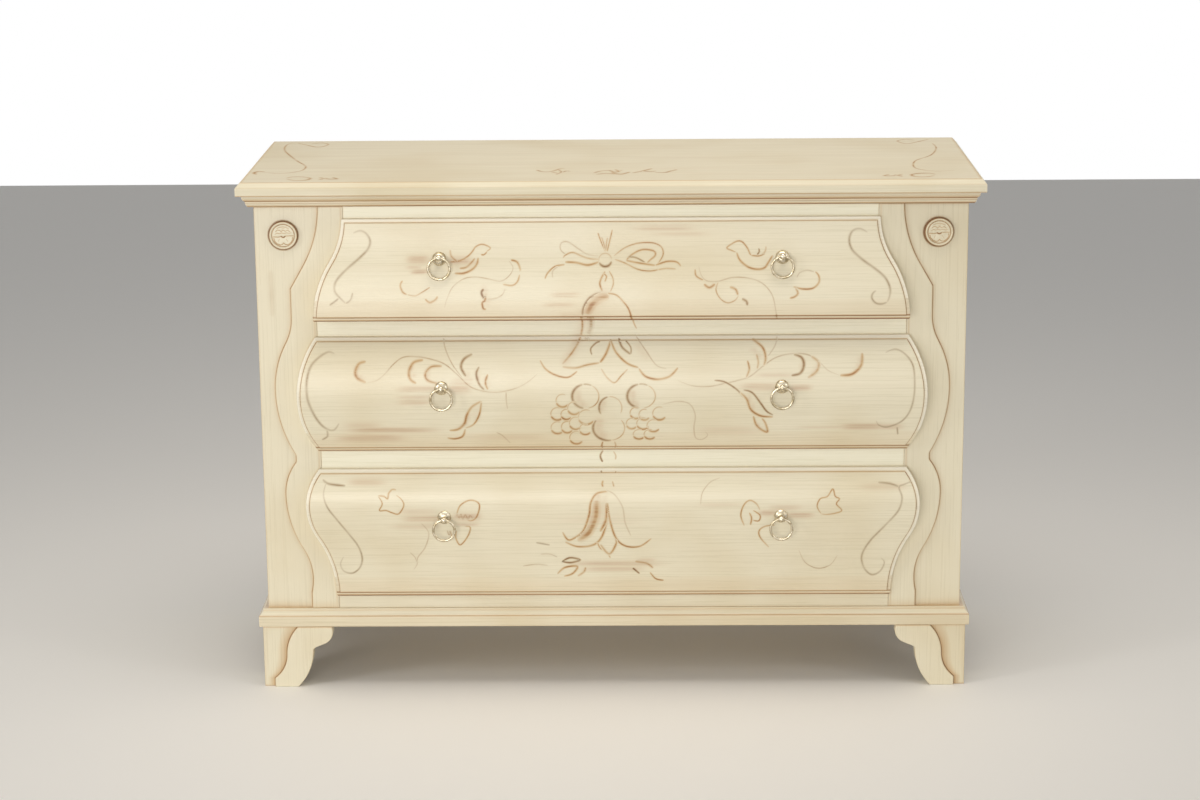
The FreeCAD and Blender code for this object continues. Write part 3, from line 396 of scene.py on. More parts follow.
STILE_EASING = 0.0009
for side_name, side in SIDES.items():
    name = f"front_stile_{side_name}"
    low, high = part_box(name)
    opening, corner = sorted((abs(low.x), abs(high.x)))
    board_low, board_high = [end.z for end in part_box(f"scrolled_stile_{side_name}")]
    rows = []
    for z in spread(low.z, high.z, EDGE_LINES, 230):
        line = abs(board_lines[side](min(max(z, board_low), board_high))[1])
        across = [opening, opening + 0.001, line - 0.004, line - 0.001]
        across += [line + d * MM for d in (0, 0.5, 1.1, 1.9, 3, 4.5, 7, 11)]
        across += [corner - d * MM for d in (9, 5, 3, 1.4, 0.7, 0.25, 0)]
        row = []
        for x in across:
            # Beside the board's edge, glaze and a painted shadow
            held = glaze_and_painted_shade_by(
                (x - line, 1.0, 1.3), (x - line, 0.12, 5), (corner - x, 0.25, 1.3),
                (board_high - z, 0.7, 1.6), (z - board_low, 0.65, 2), (z - board_low, 0.2, 9),
            )
            row.append((Vector((side * x, low.y + eased(corner - x, STILE_EASING), z)), held))
        rows.append(row)
    painted(f"flat_stile_{side_name}", slab(rows, flat_behind(high.y)), paint_upright, name)


# Rails: flat pine rails between the drawers, which lap over the stiles as far as the scrolled boards.
# Glaze shows at their butt ends, and glaze and a painted shadow along the drawers' lips.
# Their cores are the same wood.

ON_PLANE = 1e-5
HIDDEN_GLAZE = 0.15


def plain_rest(name, limit):
    """What of a plain piece lies behind a plane, as points, faces and glaze."""
    mesh = nodes[name].data
    points, faces = [], []
    for polygon in mesh.polygons:
        corners = [mesh.vertices[i].co for i in polygon.vertices]
        depths = [c.y for c in corners]
        if min(depths) > limit - ON_PLANE and max(depths) > limit + ON_PLANE:
            faces.append(tuple(range(len(points), len(points) + len(corners))))
            points += [c.copy() for c in corners]
    return points, faces, [HIDDEN_GLAZE] * len(points)


def joined(shape, more):
    """Two shapes, each its points, faces, and glaze and painted light, as one."""
    first = len(shape[0])
    moved = [tuple(first + i for i in face) for face in more[1]]
    return shape[0] + more[0], shape[1] + moved, shape[2] + more[2]


# Dry-brush smudges on the fronts: middle (x, z), half-length and half-height in millimetres, and strength
SMUDGES = [
    (-320, 528, 30, 3.9, 1.08), (-325, 514, 28, 2.8, 0.47), (-326, 506, 25, 3.9, 0.68),
    (-251, 528, 18, 6.2, 1.01), (-247, 539, 16, 5.3, 0.47), (-366, 456, 70, 4.2, 0.94),
    (-401, 441, 53, 7.1, 0.68), (-414, 464, 30, 7.1, 0.34), (245, 529, 28, 5.0, 0.81),
    (269, 548, 30, 3.5, 0.41), (311, 527, 17, 4.2, 1.01), (417, 459, 34, 5.0, 0.94),
    (460, 458, 21, 4.6, 0.68), (353, 458, 43, 2.1, 0.34), (-409, 366, 29, 5.3, 0.61),
    (-318, 305, 31, 5.3, 0.94), (-329, 291, 38, 5.3, 0.47), (-325, 316, 31, 5.3, 0.41),
    (-243, 307, 22, 6.4, 0.88), (-243, 294, 19, 4.4, 0.54), (7, 219, 67, 4.6, 0.81),
    (-1, 209, 47, 4.2, 0.61), (55, 223, 16, 5.3, 0.54), (-75, 685, 22, 4.2, 0.61), (-85, 668, 24, 3.4, 0.68),
    (88, 791, 47, 5.0, 0.54), (114, 781, 43, 3.5, 0.34), (-316, 742, 17, 7.0, 0.85),
    (-313, 723, 13, 3.4, 1.08), (-323, 730, 11, 3.5, 0.47), (-248, 739, 19, 7.0, 0.85),
    (259, 312, 14, 4.6, 0.81), (313, 308, 21, 5.0, 0.88), (288, 321, 26, 4.2, 0.47),
    (451, 355, 37, 4.6, 0.41), (181, 326, 36, 5.3, 0.27), (-178, 442, 60, 5.3, 0.27),
    (-21, 301, 69, 10.6, 0.16), (196, 453, 52, 7.1, 0.3),
]
# Soft shading inside the painted figures: half-width in millimetres, strength, and points (x, z)
SHADES = [
    (9.6, 0.4, (-13, 685), (-29, 672), (-41, 654)),
    (7.5, 0.35, (-44, 645), (-48, 622), (-55, 607)),
    (6.9, 0.38, (-57, 601), (-65, 586), (-76, 572)),
    (5.5, 0.22, (44, 596), (57, 578)),
    (4.5, 0.4, (-208, 696), (-206, 682), (-203, 673)),
    (4.1, 0.35, (-245, 738), (-230, 731), (-221, 738)),
    (4.8, 0.5, (-24, 341), (-31, 318), (-36, 293), (-50, 271)),
    (3.8, 0.35, (-14, 339), (-16, 315), (-14, 293)),
    (5.8, 0.42, (-57, 522), (-55, 508), (-47, 499)),
    (5.5, 0.5, (34, 519), (34, 508), (40, 499)),
    (5.2, 0.42, (-14, 503), (-18, 492)),
    (7.2, 0.45, (-21, 469), (-23, 454), (-15, 443)),
    (3.1, 0.4, (-420, 563), (-422, 553), (-413, 545)),
    (3.4, 0.35, (-331, 562), (-327, 549)),
    (3.4, 0.3, (-304, 556), (-303, 544)),
    (3.1, 0.35, (-240, 555), (-232, 541)),
    (3.1, 0.35, (-222, 555), (-219, 542)),
    (3.1, 0.35, (-207, 545), (-205, 532)),
    (3.4, 0.4, (-235, 483), (-242, 467), (-255, 459)),
    (3.1, 0.35, (-224, 495), (-223, 474)),
    (3.4, 0.35, (233, 588), (245, 578)),
    (3.4, 0.35, (411, 575), (404, 556)),
    (3.1, 0.3, (317, 572), (312, 558)),
    (3.1, 0.3, (340, 564), (330, 546)),
    (3.1, 0.35, (225, 515), (233, 493)),
    (3.1, 0.35, (239, 464), (247, 453)),
    (4.1, 0.3, (-80, 650), (-48, 649)),
]
# How far off a smudge, by its own measure, and a shade, in millimetres, there is still any stain
SMUDGE_REACH = 6
SHADE_REACH = (60, 80)


def off_line(x, z, points):
    """How far a spot is from a broken line."""
    nearest = math.inf
    for (ax, az), (bx, bz) in zip(points, points[1:]):
        run, rise = bx - ax, bz - az
        share = min(1.0, max(0.0, ((x - ax) * run + (z - az) * rise) / (run * run + rise * rise)))
        nearest = min(nearest, math.hypot(x - ax - share * run, z - az - share * rise))
    return nearest


def stain_at(x, z):
    """How much stain lies on the front at a spot in millimetres."""
    held = 0.0
    for middle_x, middle_z, half_length, half_height, strength in SMUDGES:
        away = ((x - middle_x) / half_length) ** 4 + ((z - middle_z) / half_height) ** 2
        if away < SMUDGE_REACH:
            held = max(held, strength * math.exp(-away))
    for half, strength, *points in SHADES:
        if abs(x - points[0][0]) < SHADE_REACH[0] and abs(z - points[0][1]) < SHADE_REACH[1]:
            held = max(held, strength * math.exp(-((off_line(x, z, points) / half) ** 2)))
    return held


def stain(piece):
    """Stores the stain of each vertex of a front or rail."""
    spots = [v.co for v in piece.data.vertices]
    store(piece.data, "stain", [stain_at(s.x / MM, s.z / MM) if s.y < case_face - MM else 0.0 for s in spots])
    return piece


# The same enamel, paler than on the fronts and without warm clouds: painted light on the shaded rails
CREAM_PAINTED_LIGHT = "#F3EFD7"
CREAM_PAINTED_LIGHT_PALE = "#FBF8E4"
PAINTED_LIGHT_GROUND = ("x", 0.6, 0.0, (CREAM_PAINTED_LIGHT, CREAM_PAINTED_LIGHT_PALE))
paint_rails_painted_light = satin("cream_paint_rails_painted_light", lambda tree: paint_layers(tree, *PAINTED_LIGHT_GROUND))
LIP_COVER = 0.008
RAIL_EASING = 0.0005
RAIL_LINES = (0, 0.25, 0.7, 1.4, 7.6, 8.2, 9, 10.5, 13)
# Rays up and down go beside the middle of the rails, clear of their vertices
BESIDE_MIDDLE = 0.05
for name in ("top_rail", "upper_rail", "lower_rail", "bottom_rail"):
    low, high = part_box(name)
    plain = rays_on(name)
    middle_y = (low.y + case_face) / 2
    half = far_edge(plain, middle_y, (low.z + high.z) / 2, 1)
    foot = plain.ray_cast(Vector((BESIDE_MIDDLE, middle_y, -1)), Vector((0, 0, 1)))[0].z
    head = plain.ray_cast(Vector((BESIDE_MIDDLE, middle_y, 2)), Vector((0, 0, -1)))[0].z
    foot_cover = 0 if name == "bottom_rail" else LIP_COVER
    head_cover = 0 if name == "top_rail" else LIP_COVER
    rows = []
    for z in spread(foot, head, RAIL_LINES, 4):
        row = []
        for x in spread(-half, half, EDGE_LINES, 150):
            rim = min(x + half, half - x, z - foot, head - z)
            # Glaze at the butt ends; along the drawers' lips, glaze and a painted shadow
            held = glaze_and_painted_shade_by(
                (half - abs(x), 0.35, 0.8), (abs(z - foot - foot_cover), 0.06, 1.6),
                (abs(head - z - head_cover), 0.2, 1.2),
            )
            row.append((Vector((x, low.y + eased(rim, RAIL_EASING), z)), held))
        rows.append(row)
    shape = joined(slab(rows, flat_behind(case_face)), plain_rest(name, case_face))
    paint = paint_across if name == "bottom_rail" else paint_rails_painted_light
    stain(painted(f"flat_{name}", shape, paint, name))


# Mouldings: a beaded cornice under the top and a cyma base moulding over the feet, run from pine.
# They are mitred at the front corners, and the glaze lies dark in each of their quirks.

def bowed(low, high, count, held):
    """An arc that is upright at its high end, as (reach, rise, glaze)."""
    swing, rise = high[0] - low[0], high[1] - low[1]
    radius = (swing**2 + rise**2) / (2 * abs(swing))
    way = math.copysign(1, swing)
    points = []
    for i in range(count + 1):
        z = low[1] + rise * i / count
        reach = high[0] - way * (radius - math.sqrt(radius**2 - (high[1] - z) ** 2))
        points.append((reach, z, held * (1 - i / count) ** 2))
    return points


# Both profiles, as reach and rise in millimetres and the glaze there, from the foot up and back
CORNICE_SECTION = [
    (0, 0, 0.9), (7.6, 0, 0.95), *bowed((8, 0.3), (11, 5.7), 6, 1.2), (11.02, 6.0, 1.6), (11.7, 6.02, 1.6),
    (12, 6.3, 0.6), (12, 7.0, 0.1), (12, 8.6, 0.1), (12, 9.6, 1.0), (12.1, 10, 1.7), (12.9, 10.05, 1.7),
    *bowed((13, 10.3), (17, 17.6), 7, 0.8), (17, 18.2, 0.25), (17, 18.9, 1.2), (16.8, 19.8, 1.7),
    (16.4, 20, 1.7), (0, 20, 0.6),
]
BASE_SECTION = [
    (0, 0, 0.3), (12.6, 0, 0.6), (13.6, 0.2, 0.4), (14.6, 0.9, 0.2), (15, 2, 0.1), (15, 17, 0.1),
    (15, 18.4, 0.3), (14.9, 19.1, 1.0), (14.2, 19.6, 0.5), (13.2, 20.6, 0.05), (11.6, 22.4, 0.0),
    (10.2, 24.2, 0.0), (9, 25.8, 0.05), (8.3, 27, 0.15), (8, 27.8, 0.45), (8, 28.4, 0.2), (7.9, 30.2, 0.05),
    (7.4, 30.8, 0.1), (6.6, 31, 0.15), (5.0, 31, 0.45), (0, 31, 0.6),
]
case_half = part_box("front_stile_right")[1].x
case_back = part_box("side_panel_left")[1].y


def moulding_run(place, section, start, end, material):
    """A length of moulding between two ends, each a function from reach and height to a point."""
    points = [start(reach * MM, z * MM) for reach, z, held in section]
    points += [end(reach * MM, z * MM) for reach, z, held in section]
    count = len(section)
    faces = [(i, (i + 1) % count, count + (i + 1) % count, count + i) for i in range(count)]
    faces += [tuple(range(count)), tuple(range(count, 2 * count))]
    glaze = [held for reach, z, held in section] * 2
    painted(f"moulded_{place}", (points, faces, glaze), material, place)


def mitre_at(side, foot):
    """The end of a moulding that is mitred at a front corner."""
    return lambda reach, z: Vector((side * (case_half + reach), case_face - reach, foot + z))


def heel_at(side, foot):
    """The end of a moulding that is cut square at the back."""
    return lambda reach, z: Vector((side * (case_half + reach), case_back, foot + z))


for kind, section in (("cornice", CORNICE_SECTION), ("base_moulding", BASE_SECTION)):
    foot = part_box(f"{kind}_front")[0].z
    moulding_run(f"{kind}_front", section, mitre_at(-1, foot), mitre_at(1, foot), paint_across)
    for side_name, side in SIDES.items():
        moulding_run(f"{kind}_{side_name}", section, mitre_at(side, foot), heel_at(side, foot), paint_deep)


# Top board: one wide glued-up pine board, chamfered along its front and ends and square at the back.
# It is cream like the case, a shade warmer where it has been rubbed.

low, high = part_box("top_board")
# Inset from the board's edge, height above its underside and glaze, from the underside up and in
TOP_SECTION = [
    (30, 0, 0.7), (9.2, 0, 0.8), (1.2, 0, 0.9), (0.3, 0.2, 0.8), (0, 0.8, 0.45), (0, 2, 0.0), (0, 10, 0.0),
    (0, 12.8, 0.0), (0.15, 13.7, 0.12), (0.8, 14.5, 0.05), (2.5, 16.3, 0.0), (6.4, 20.2, 0.0),
    (7.4, 21.3, 0.2), (8.3, 21.75, 0.5), (9.4, 21.85, 0.25), (13, 21.85, 0.05), (40, 21.85, 0.05),
    (120, 21.85, 0.05),
]
points, faces, glaze = [], [], []
for inset, rise, held in TOP_SECTION:
    half = high.x - inset * MM
    front = low.y + inset * MM
    for x, y in ((-half, high.y), (-half, front), (half, front), (half, high.y)):
        points.append(Vector((x, y, low.z + rise * MM)))
        glaze.append(held)
firsts = [ring * 4 for ring in range(len(TOP_SECTION))]
for ring in firsts[:-1]:
    faces += [(a, a + 1, a + 5, a + 4) for a in range(ring, ring + 3)]
faces += [(0, 1, 2, 3), tuple(range(firsts[-1], firsts[-1] + 4))]
faces.append((*firsts, *[ring + 3 for ring in reversed(firsts)]))
# The same enamel rubbed matt with wax, warmer and flatter than on the fronts
paint_top = satin("waxed_cream_paint_top", lambda tree: paint_layers(tree, "x", 0.7), 0.5, 0.62, 1.35)
top_board = painted("painted_top_board", (points, faces, glaze), paint_top, "top_board")


# Rosettes: turned pine discs with a raised rim, and a flower of lobed petals cut shallow in the field.
# The glaze has settled in the cuts and the quirk inside the rim; glaze and painted shadow lie all round
# outside it.

# Cuts in the field: strength, half-width and points right of and above the middle, in millimetres
ROSETTE_CUTS = [
    (0.9, 0.6, (-16.5, -2.2), (-9, -2.6), (-4.5, -2.0)),
    (0.8, 0.6, (5, -1.0), (11, -0.4), (17, -0.6)),
    (1.3, 0.9, (-3.2, -1.6), (-1, -2.8), (1, -3.0), (3.4, -1.5)),
    (0.9, 0.6, (-15.3, -5), (-14.2, -9.3), (-10.2, -13.6), (-5.2, -15.8), (-1.6, -15), (0.5, -12.4)),
    (0.9, 0.6, (0.5, -12.4), (3.4, -15), (8, -15.2), (12.5, -12), (15.6, -7.5), (15.5, -3)),
    (0.4, 0.5, (-6, -6), (-8.5, -10.5)),
    (0.4, 0.5, (5, -6), (8, -10)),
    (0.6, 0.55, (-13, 2.2), (-9.5, 4.2), (-6, 3.0), (-2, 4.4), (2, 3.2), (6, 4.6), (10.5, 3.4), (13.5, 4.6)),
    (0.7, 0.55, (-12, 6.5), (-9.5, 9.2), (-5.5, 8.8), (-3, 6.6), (0.5, 9.0), (4, 7.0), (8, 9.0),
        (11.5, 6.5)),
    (0.6, 0.55, (-9.5, 11.8), (-5, 13.8), (0, 14.4), (5, 13.6), (9.5, 11.4)),
    (0.4, 0.5, (-1.5, 11), (2.5, 11.8)),
]
ROSETTE_TURNS = 144
# The whole disc's radius in metres, and in millimetres where its field and quirk end and its rim crests
ROSETTE_RADIUS = 0.0238
FIELD_RADIUS = 17.75
QUIRK_RADIUS = 18.9
CROWN_MIDDLE = 21.35
CROWN_HALF = 2.45


def carved(r, turn):
    """A rosette's depth behind its box's face and its glaze and painted shadow, at a radius in millimetres
    and an angle.
    """
    across, above = r * math.cos(turn), r * math.sin(turn)
    if r < FIELD_RADIUS:
        held = max(
            deep * math.exp(-((off_line(across, above, line) / wide) ** 2))
            for deep, wide, *line in ROSETTE_CUTS
        )
        return 1.0 + 0.7 * held - 0.25 * math.sin(3 * turn) * math.sin(math.pi * r / FIELD_RADIUS), held
    if r < QUIRK_RADIUS:
        return 2.4, 0.7
    # Past the crest the rim's outer bevel darkens: glaze and painted shadow
    crown = (r - CROWN_MIDDLE) / CROWN_HALF
    held = 1.2 * min(1, max(0, crown - 0.3) / 0.35) if crown > 0 else 0.5 * max(0, -crown - 0.75) / 0.25
    return 2.2 * abs(crown) ** 2.6, held


for side_name, side in SIDES.items():
    low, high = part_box(f"rosette_{side_name}")
    middle = (low + high) / 2
    radius = (high.x - low.x) / 2
    points, glaze, faces = [], [], []
    rings = [0.58 * i for i in range(1, 31)]
    rings += [17.7, 18, 18.4, 18.8, 19.2, 19.7, 20.5, 21.4, 22.3, 23, 23.5, 23.8]
    for r in rings:
        for i in range(ROSETTE_TURNS):
            turn = 2 * math.pi * i / ROSETTE_TURNS
            relief, held = carved(r, turn)
            out = Vector((r * math.cos(turn), 0, r * math.sin(turn)))
            spot = middle + out * MM * (radius / ROSETTE_RADIUS)
            points.append(Vector((spot.x, low.y + relief * MM, spot.z)))
            glaze.append(held)
    afters = [(i + 1) % ROSETTE_TURNS for i in range(ROSETTE_TURNS)]
    rim = (len(rings) - 1) * ROSETTE_TURNS
    for a in range(0, rim, ROSETTE_TURNS):
        b = a + ROSETTE_TURNS
        faces += [(a + i, a + after, b + after, b + i) for i, after in enumerate(afters)]
    hub = len(points)
    points.append(Vector((middle.x, low.y + 1.0 * MM, middle.z)))
    glaze.append(0.0)
    faces += [(hub, i, after) for i, after in enumerate(afters)]
    heel = len(points)
    points += [Vector((points[rim + i].x, high.y, points[rim + i].z)) for i in range(ROSETTE_TURNS)]
    # The rim's outer side is dark with glaze and painted shadow
    glaze += [1.2] * ROSETTE_TURNS
    faces += [(rim + i, rim + after, heel + after, heel + i) for i, after in enumerate(afters)]
    faces.append(tuple(range(heel, heel + ROSETTE_TURNS)))
    shape = points, faces, glaze
    painted(f"carved_rosette_{side_name}", shape, paint_upright, f"rosette_{side_name}")


# Feet: scrolled pine boards mitred into corner feet, each with a raised scrolled bracket on its face.
# They are painted like the case, with a brown line of glaze down the outer edge of each bracket.

BRACKET_EASING = 0.0014
bracket_lines = {}
for side_name, side in SIDES.items():
    name = f"scroll_bracket_{side_name}"
    low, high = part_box(name)
    bracket_lines[side] = board_edges(name, side)
    rows = []
    for z in spread(low.z, high.z, EDGE_LINES, 60):
        inner, outer = bracket_lines[side](z)
        row = []
        for x in spread(0, abs(outer - inner), EDGE_LINES, 4):
            from_outer = abs(outer - inner) - x
            rim = min(x, from_outer, z - low.z, high.z - z)
            held = glaze_and_painted_shade_by((from_outer, 0.45, 0.8), (x, 0.25, 1.0), (high.z - z, 0.55, 1.6))
            row.append((Vector((inner + side * x, low.y + eased(rim, BRACKET_EASING), z)), held))
        rows.append(row)
    painted(f"scrolled_bracket_{side_name}", slab(rows, flat_behind(high.y)), paint_upright, name)

FOOT_THICK = 0.020
FOOT_EASING = 0.0012
for side_name, side in SIDES.items():
    name = f"front_foot_{side_name}"
    low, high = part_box(name)
    plain = rays_on(name)
    outer = high.x if side > 0 else low.x
    board_back = low.y + FOOT_THICK
    cheek_x = outer - side * FOOT_THICK / 2
    rows, cheek_rows = [], []
    for z in spread(low.z, high.z, EDGE_LINES, 60):
        level = kept_inside(z, low, high)
        inner = abs(near_edge(plain, low.y + FOOT_THICK / 2, level, side))
        line = abs(bracket_lines[side](z)[1])
        across = [inner + d * MM for d in (0, 0.25, 0.7, 1.4)]
        across += [inner + (line - 0.002 - inner) * share for share in (0.5, 1)]
        across += [line + d * MM for d in (0, 0.5, 1.2, 2.2, 3.6, 6)]
        room = abs(outer) - 0.0015 - across[-1]
        across += [across[-1] + room * share for share in (0.35, 0.7, 1)]
        across += [abs(outer) - d * MM for d in (1.0, 0.5, 0.2, 0)]
        row = []
        for x in across:
            depth = eased(min(abs(outer) - x, x - inner, z - low.z), FOOT_EASING)
            held = glaze_and_painted_shade_by(
                (x - line, 1.3, 1.7), (x - line, 0.6, 8), (abs(outer) - x, 0.25, 1.5), (high.z - z, 0.7, 2),
                (z - low.z, 0.5, 2),
            )
            row.append((Vector((side * x, low.y + depth, z)), held))
        rows.append(row)
        heel_y = plain.ray_cast(Vector((cheek_x, 2, level)), Vector((0, -1, 0)))[0].y
        cheek_row = []
        for y in spread(board_back + JUST_INSIDE, heel_y, EDGE_LINES, 8):
            rim = min(heel_y - y, z - low.z)
            held = glaze_and_painted_shade_by((heel_y - y, 0.5, 1.5), (high.z - z, 0.7, 3), (z - low.z, 0.5, 2))
            cheek_row.append((Vector((outer - side * eased(rim, FOOT_EASING), y, z)), held))
        cheek_rows.append(cheek_row)
    cheek = slab(cheek_rows, lambda point, x=outer - side * FOOT_THICK: Vector((x, point.y, point.z)))
    both = joined(slab(rows, flat_behind(board_back)), cheek)
    painted(f"scrolled_foot_{side_name}", both, paint_upright, name)


def repaint(material, *names):
    """A plain piece keeps its shape and takes a finish."""
    for name in names:
        nodes[name].data.materials.clear()
        nodes[name].data.materials.append(material)


repaint(paint_upright, "rear_foot_left", "rear_foot_right")


# Inner framing and drawer boxes: planed poplar, left bare, pale and straight-grained.
# Runners and kickers are glued behind the stiles; the drawer sides are dovetailed to their fronts.

def bare_wood(name, light, dark, run, per_m, pores=0.25):
    """Bare planed wood with its grain along an axis; per_m is how many bands cross a metre."""
    material, tree = empty_material(name)
    spot = drawn_out(tree, object_space(tree), run, per_m / 22, per_m)
    bands = mottle(tree, spot, 1, 5, 0.6, 0.6)
    fine = mottle(tree, spot, 9, 3, 0.7)
    wood = blend_colours(tree, stepped(tree, bands, 0.35, 0.7), colour(light), colour(dark))
    wood = blend_colours(tree, stepped(tree, fine, 0.5, 0.72, 0, pores), wood, colour(dark))
    sheen = stepped(tree, bands, 0.3, 0.7, 0.55, 0.7)
    shade(tree, {"Base Color": wood, "Roughness": sheen, "IOR": 1.5}, fine, 0.2, 0.0003)
    return material


# Planed poplar: matt, with a pale yellow grain along each piece
poplar_across = bare_wood("planed_poplar_across", "#DEC79A", "#C2A470", "x", 70)
poplar_deep = bare_wood("planed_poplar_deep", "#E0CA9E", "#C4A774", "y", 70)
# Sanded birch plywood: paler, with a broad rotary-cut figure
plywood = bare_wood("sanded_birch_plywood", "#E3D2AE", "#D3BC92", "x", 45, 0.12)
DRAWERS = ("upper", "middle", "lower")
repaint(poplar_deep, "upper_runners", "middle_runners", "lower_runners", "kickers", "glue_blocks")
repaint(poplar_across, "rear_rails")
for drawer in DRAWERS:
    repaint(poplar_deep, f"{drawer}_drawer_side_left", f"{drawer}_drawer_side_right")
    repaint(poplar_across, f"{drawer}_drawer_back")
    repaint(plywood, f"{drawer}_drawer_bottom")


# Drawer fronts: solid pine, swelled in section and sawn to shape at the ends, with a thumbnail lip
# round a raised field. Dovetail sockets in the back hold the sides. Glaze lies in the lip's quirk.
# A painted highlight lies on the lip's band, a painted shadow along its foot, and painted shade above it.

# Millimetres in from the outline, how far behind the field's surface, and the glaze there, which below
# nothing is a painted highlight on the lip's band
LIP_SECTION = [
    (0, 5.0, 0.15), (0.2, 3.95, 0.0), (0.5, 3.4, -0.3), (1.0, 2.98, -0.6), (1.6, 2.75, -0.6),
    (2.4, 2.62, -0.5), (4.0, 2.56, -0.4), (5.3, 2.52, -0.2), (5.9, 2.5, 0.8), (6.4, 2.5, 1.2),
    (6.6, 0.7, 1.0), (6.95, 0.2, 0.3), (7.6, 0.02, 0.06), (9, 0, 0.0), (13, 0, 0.0),
]
LIP_LINES = [inset for inset, depth, held in LIP_SECTION]
# From the outline in: how far the glaze at the head is thinner, the line of it over the lip at the
# foot, where the field is true, and where the painted shade above the foot's lip begins
THINNER_HEAD = 0.0075
LIP_GLAZE_LINE = 0.0069
FIELD_INSET = 0.0085
PAINTED_SHADE_INSET = 0.009
# Less glaze than this doesn't count beside the lip's own
FAINT = 0.05
# Rays measure a front this far ahead of the lip's back, this far into the field, and near its middle
LIP_PROBE = 0.0015
FIELD_PROBE = 0.004
NEAR_MIDDLE = 0.03
lip_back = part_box("upper_drawer_side_left")[0].y


def lip_at(distance):
    """The lip's depth behind the field's surface and its glaze, at a distance in from the outline."""
    distance = distance / MM
    for (a, depth_a, held_a), (b, depth_b, held_b) in zip(LIP_SECTION, LIP_SECTION[1:]):
        if distance <= b + 1e-6:
            share = max(0.0, (distance - a) / (b - a))
            return (depth_a + (depth_b - depth_a) * share) * MM, held_a + (held_b - held_a) * share
    return 0.0, 0.0


drawer_fronts = {}
for drawer in DRAWERS:
    name = f"{drawer}_drawer_front"
    low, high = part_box(name)
    plain = rays_on(name)

    def end_at(z, plain=plain, low=low, high=high):
        """Half the length of the front at a height."""
        return far_edge(plain, lip_back - LIP_PROBE, kept_inside(z, low, high), 1)

    def field_at(z, plain=plain, low=low, high=high):
        """Where the field's surface lies at a height, carried on over the lip."""
        inside = min(max(z, low.z + FIELD_INSET), high.z - FIELD_INSET)
        here = plain.ray_cast(Vector((NEAR_MIDDLE, -2, inside)), Vector((0, 1, 0)))[0].y
        if inside == z:
            return here
        step = FIELD_PROBE if z < inside else -FIELD_PROBE
        further = plain.ray_cast(Vector((NEAR_MIDDLE, -2, inside + step)), Vector((0, 1, 0)))[0].y
        return here + (further - here) * (z - inside) / step

    rows = []
    for z in spread(low.z, high.z, LIP_LINES, 80):
        half = end_at(z)
        lean = (end_at(z + 0.001) - end_at(z - 0.001)) / 0.002 if low.z + 0.002 < z < high.z - 0.002 else 0
        steep = math.sqrt(1 + lean * lean)
        near = [line * steep for line in LIP_LINES]
        from_end = min(z - low.z, high.z - z)
        row = []
        for x in spread(-half, half, near, 170):
            depth, held = lip_at(min(from_end, (half - abs(x)) / steep))
            held *= 0.55 if held > 0 and high.z - z < THINNER_HEAD else 1
            # Painted shadow at the lip's foot, glaze line over the lip; above, painted shade fading upward
            line = glaze_and_painted_shade_by((z - low.z, 1.7, 2.4), (abs(z - low.z - LIP_GLAZE_LINE), 1.3, 1.0))
            if z - low.z > PAINTED_SHADE_INSET:
                line = glaze_and_painted_shade_by((z - low.z, 0.13, 35))
            held = max(held, line) if line > FAINT else held
            row.append((Vector((x, field_at(z) + depth, z)), held))
        rows.append(row)
    shape = joined(slab(rows, flat_behind(lip_back)), plain_rest(name, lip_back))
    front = stain(piece_from(f"painted_{name}", *shape, paint_across, poplar_across))
    for polygon in front.data.polygons:
        if polygon.center.y > lip_back - ON_PLANE:
            polygon.material_index = 1
    finish(front, f"{drawer}_drawer", "painted_wood", name)
    drawer_fronts[drawer] = front


# Pulls: cast brass posts with a domed rose and a drilled eye, and a loose brass ring in each eye,
# nickel-plated and aged. They are held from inside by steel nuts on their shanks.

def aged_metal(name, bright, dull, rough, rougher, spots_per_m):
    """Worn plating over metal: brighter where it is rubbed, duller in cloudy spots."""
    material, tree = empty_material(name)
    spot = object_space(tree)
    clouds = mottle(tree, spot, spots_per_m, 4, 0.65)
    fine = mottle(tree, spot, spots_per_m * 7, 2, 0.6)
    metal = blend_colours(tree, stepped(tree, clouds, 0.38, 0.66), colour(bright), colour(dull))
    sheen = stepped(tree, clouds, 0.35, 0.7, rough, rougher)
    shade(tree, {"Base Color": metal, "Metallic": 1.0, "Roughness": sheen}, fine, 0.12, 0.0002)
    return material


# Aged nickel plating on brass: soft grey-gold shine with duller clouds
plating = aged_metal("aged_nickel_plating", "#DCD2BC", "#A89A7C", 0.24, 0.4, 130)
# Zinc-plated steel: a cool grey shine
steel = aged_metal("zinc_plated_steel", "#B9BBBD", "#8F9194", 0.3, 0.45, 400)
for drawer in DRAWERS:
    repaint(plating, f"{drawer}_pull_posts", f"{drawer}_ring_left", f"{drawer}_ring_right")
    repaint(steel, f"{drawer}_pull_nuts")


# Back panel: thin birch plywood with eased edges, let into rebates of the side panels. Small steel
# screws, one every 70 mm or so, hold it to the side panels and the rear rails.

def new_tree(name, **inputs):
    """An empty geometry tree with named inputs."""
    tree = bpy.data.node_groups.new(name, "GeometryNodeTree")
    tree.interface.new_socket("Geometry", in_out="INPUT", socket_type="NodeSocketGeometry")
    for label, kind in inputs.items():
        tree.interface.new_socket(label, in_out="INPUT", socket_type=f"NodeSocket{kind}")
    tree.interface.new_socket("Geometry", in_out="OUTPUT", socket_type="NodeSocketGeometry")
    return tree, add(tree, "NodeGroupInput").outputs


def end_tree(tree, geometry, material):
    """Ends a geometry tree with real meshes of a material."""
    real = add(tree, "GeometryNodeRealizeInstances", {0: geometry}).outputs[0]
    dressed = add(tree, "GeometryNodeSetMaterial", {"Geometry": real, "Material": material})
    add(tree, "NodeGroupOutput", {0: dressed.outputs[0]})
    return tree


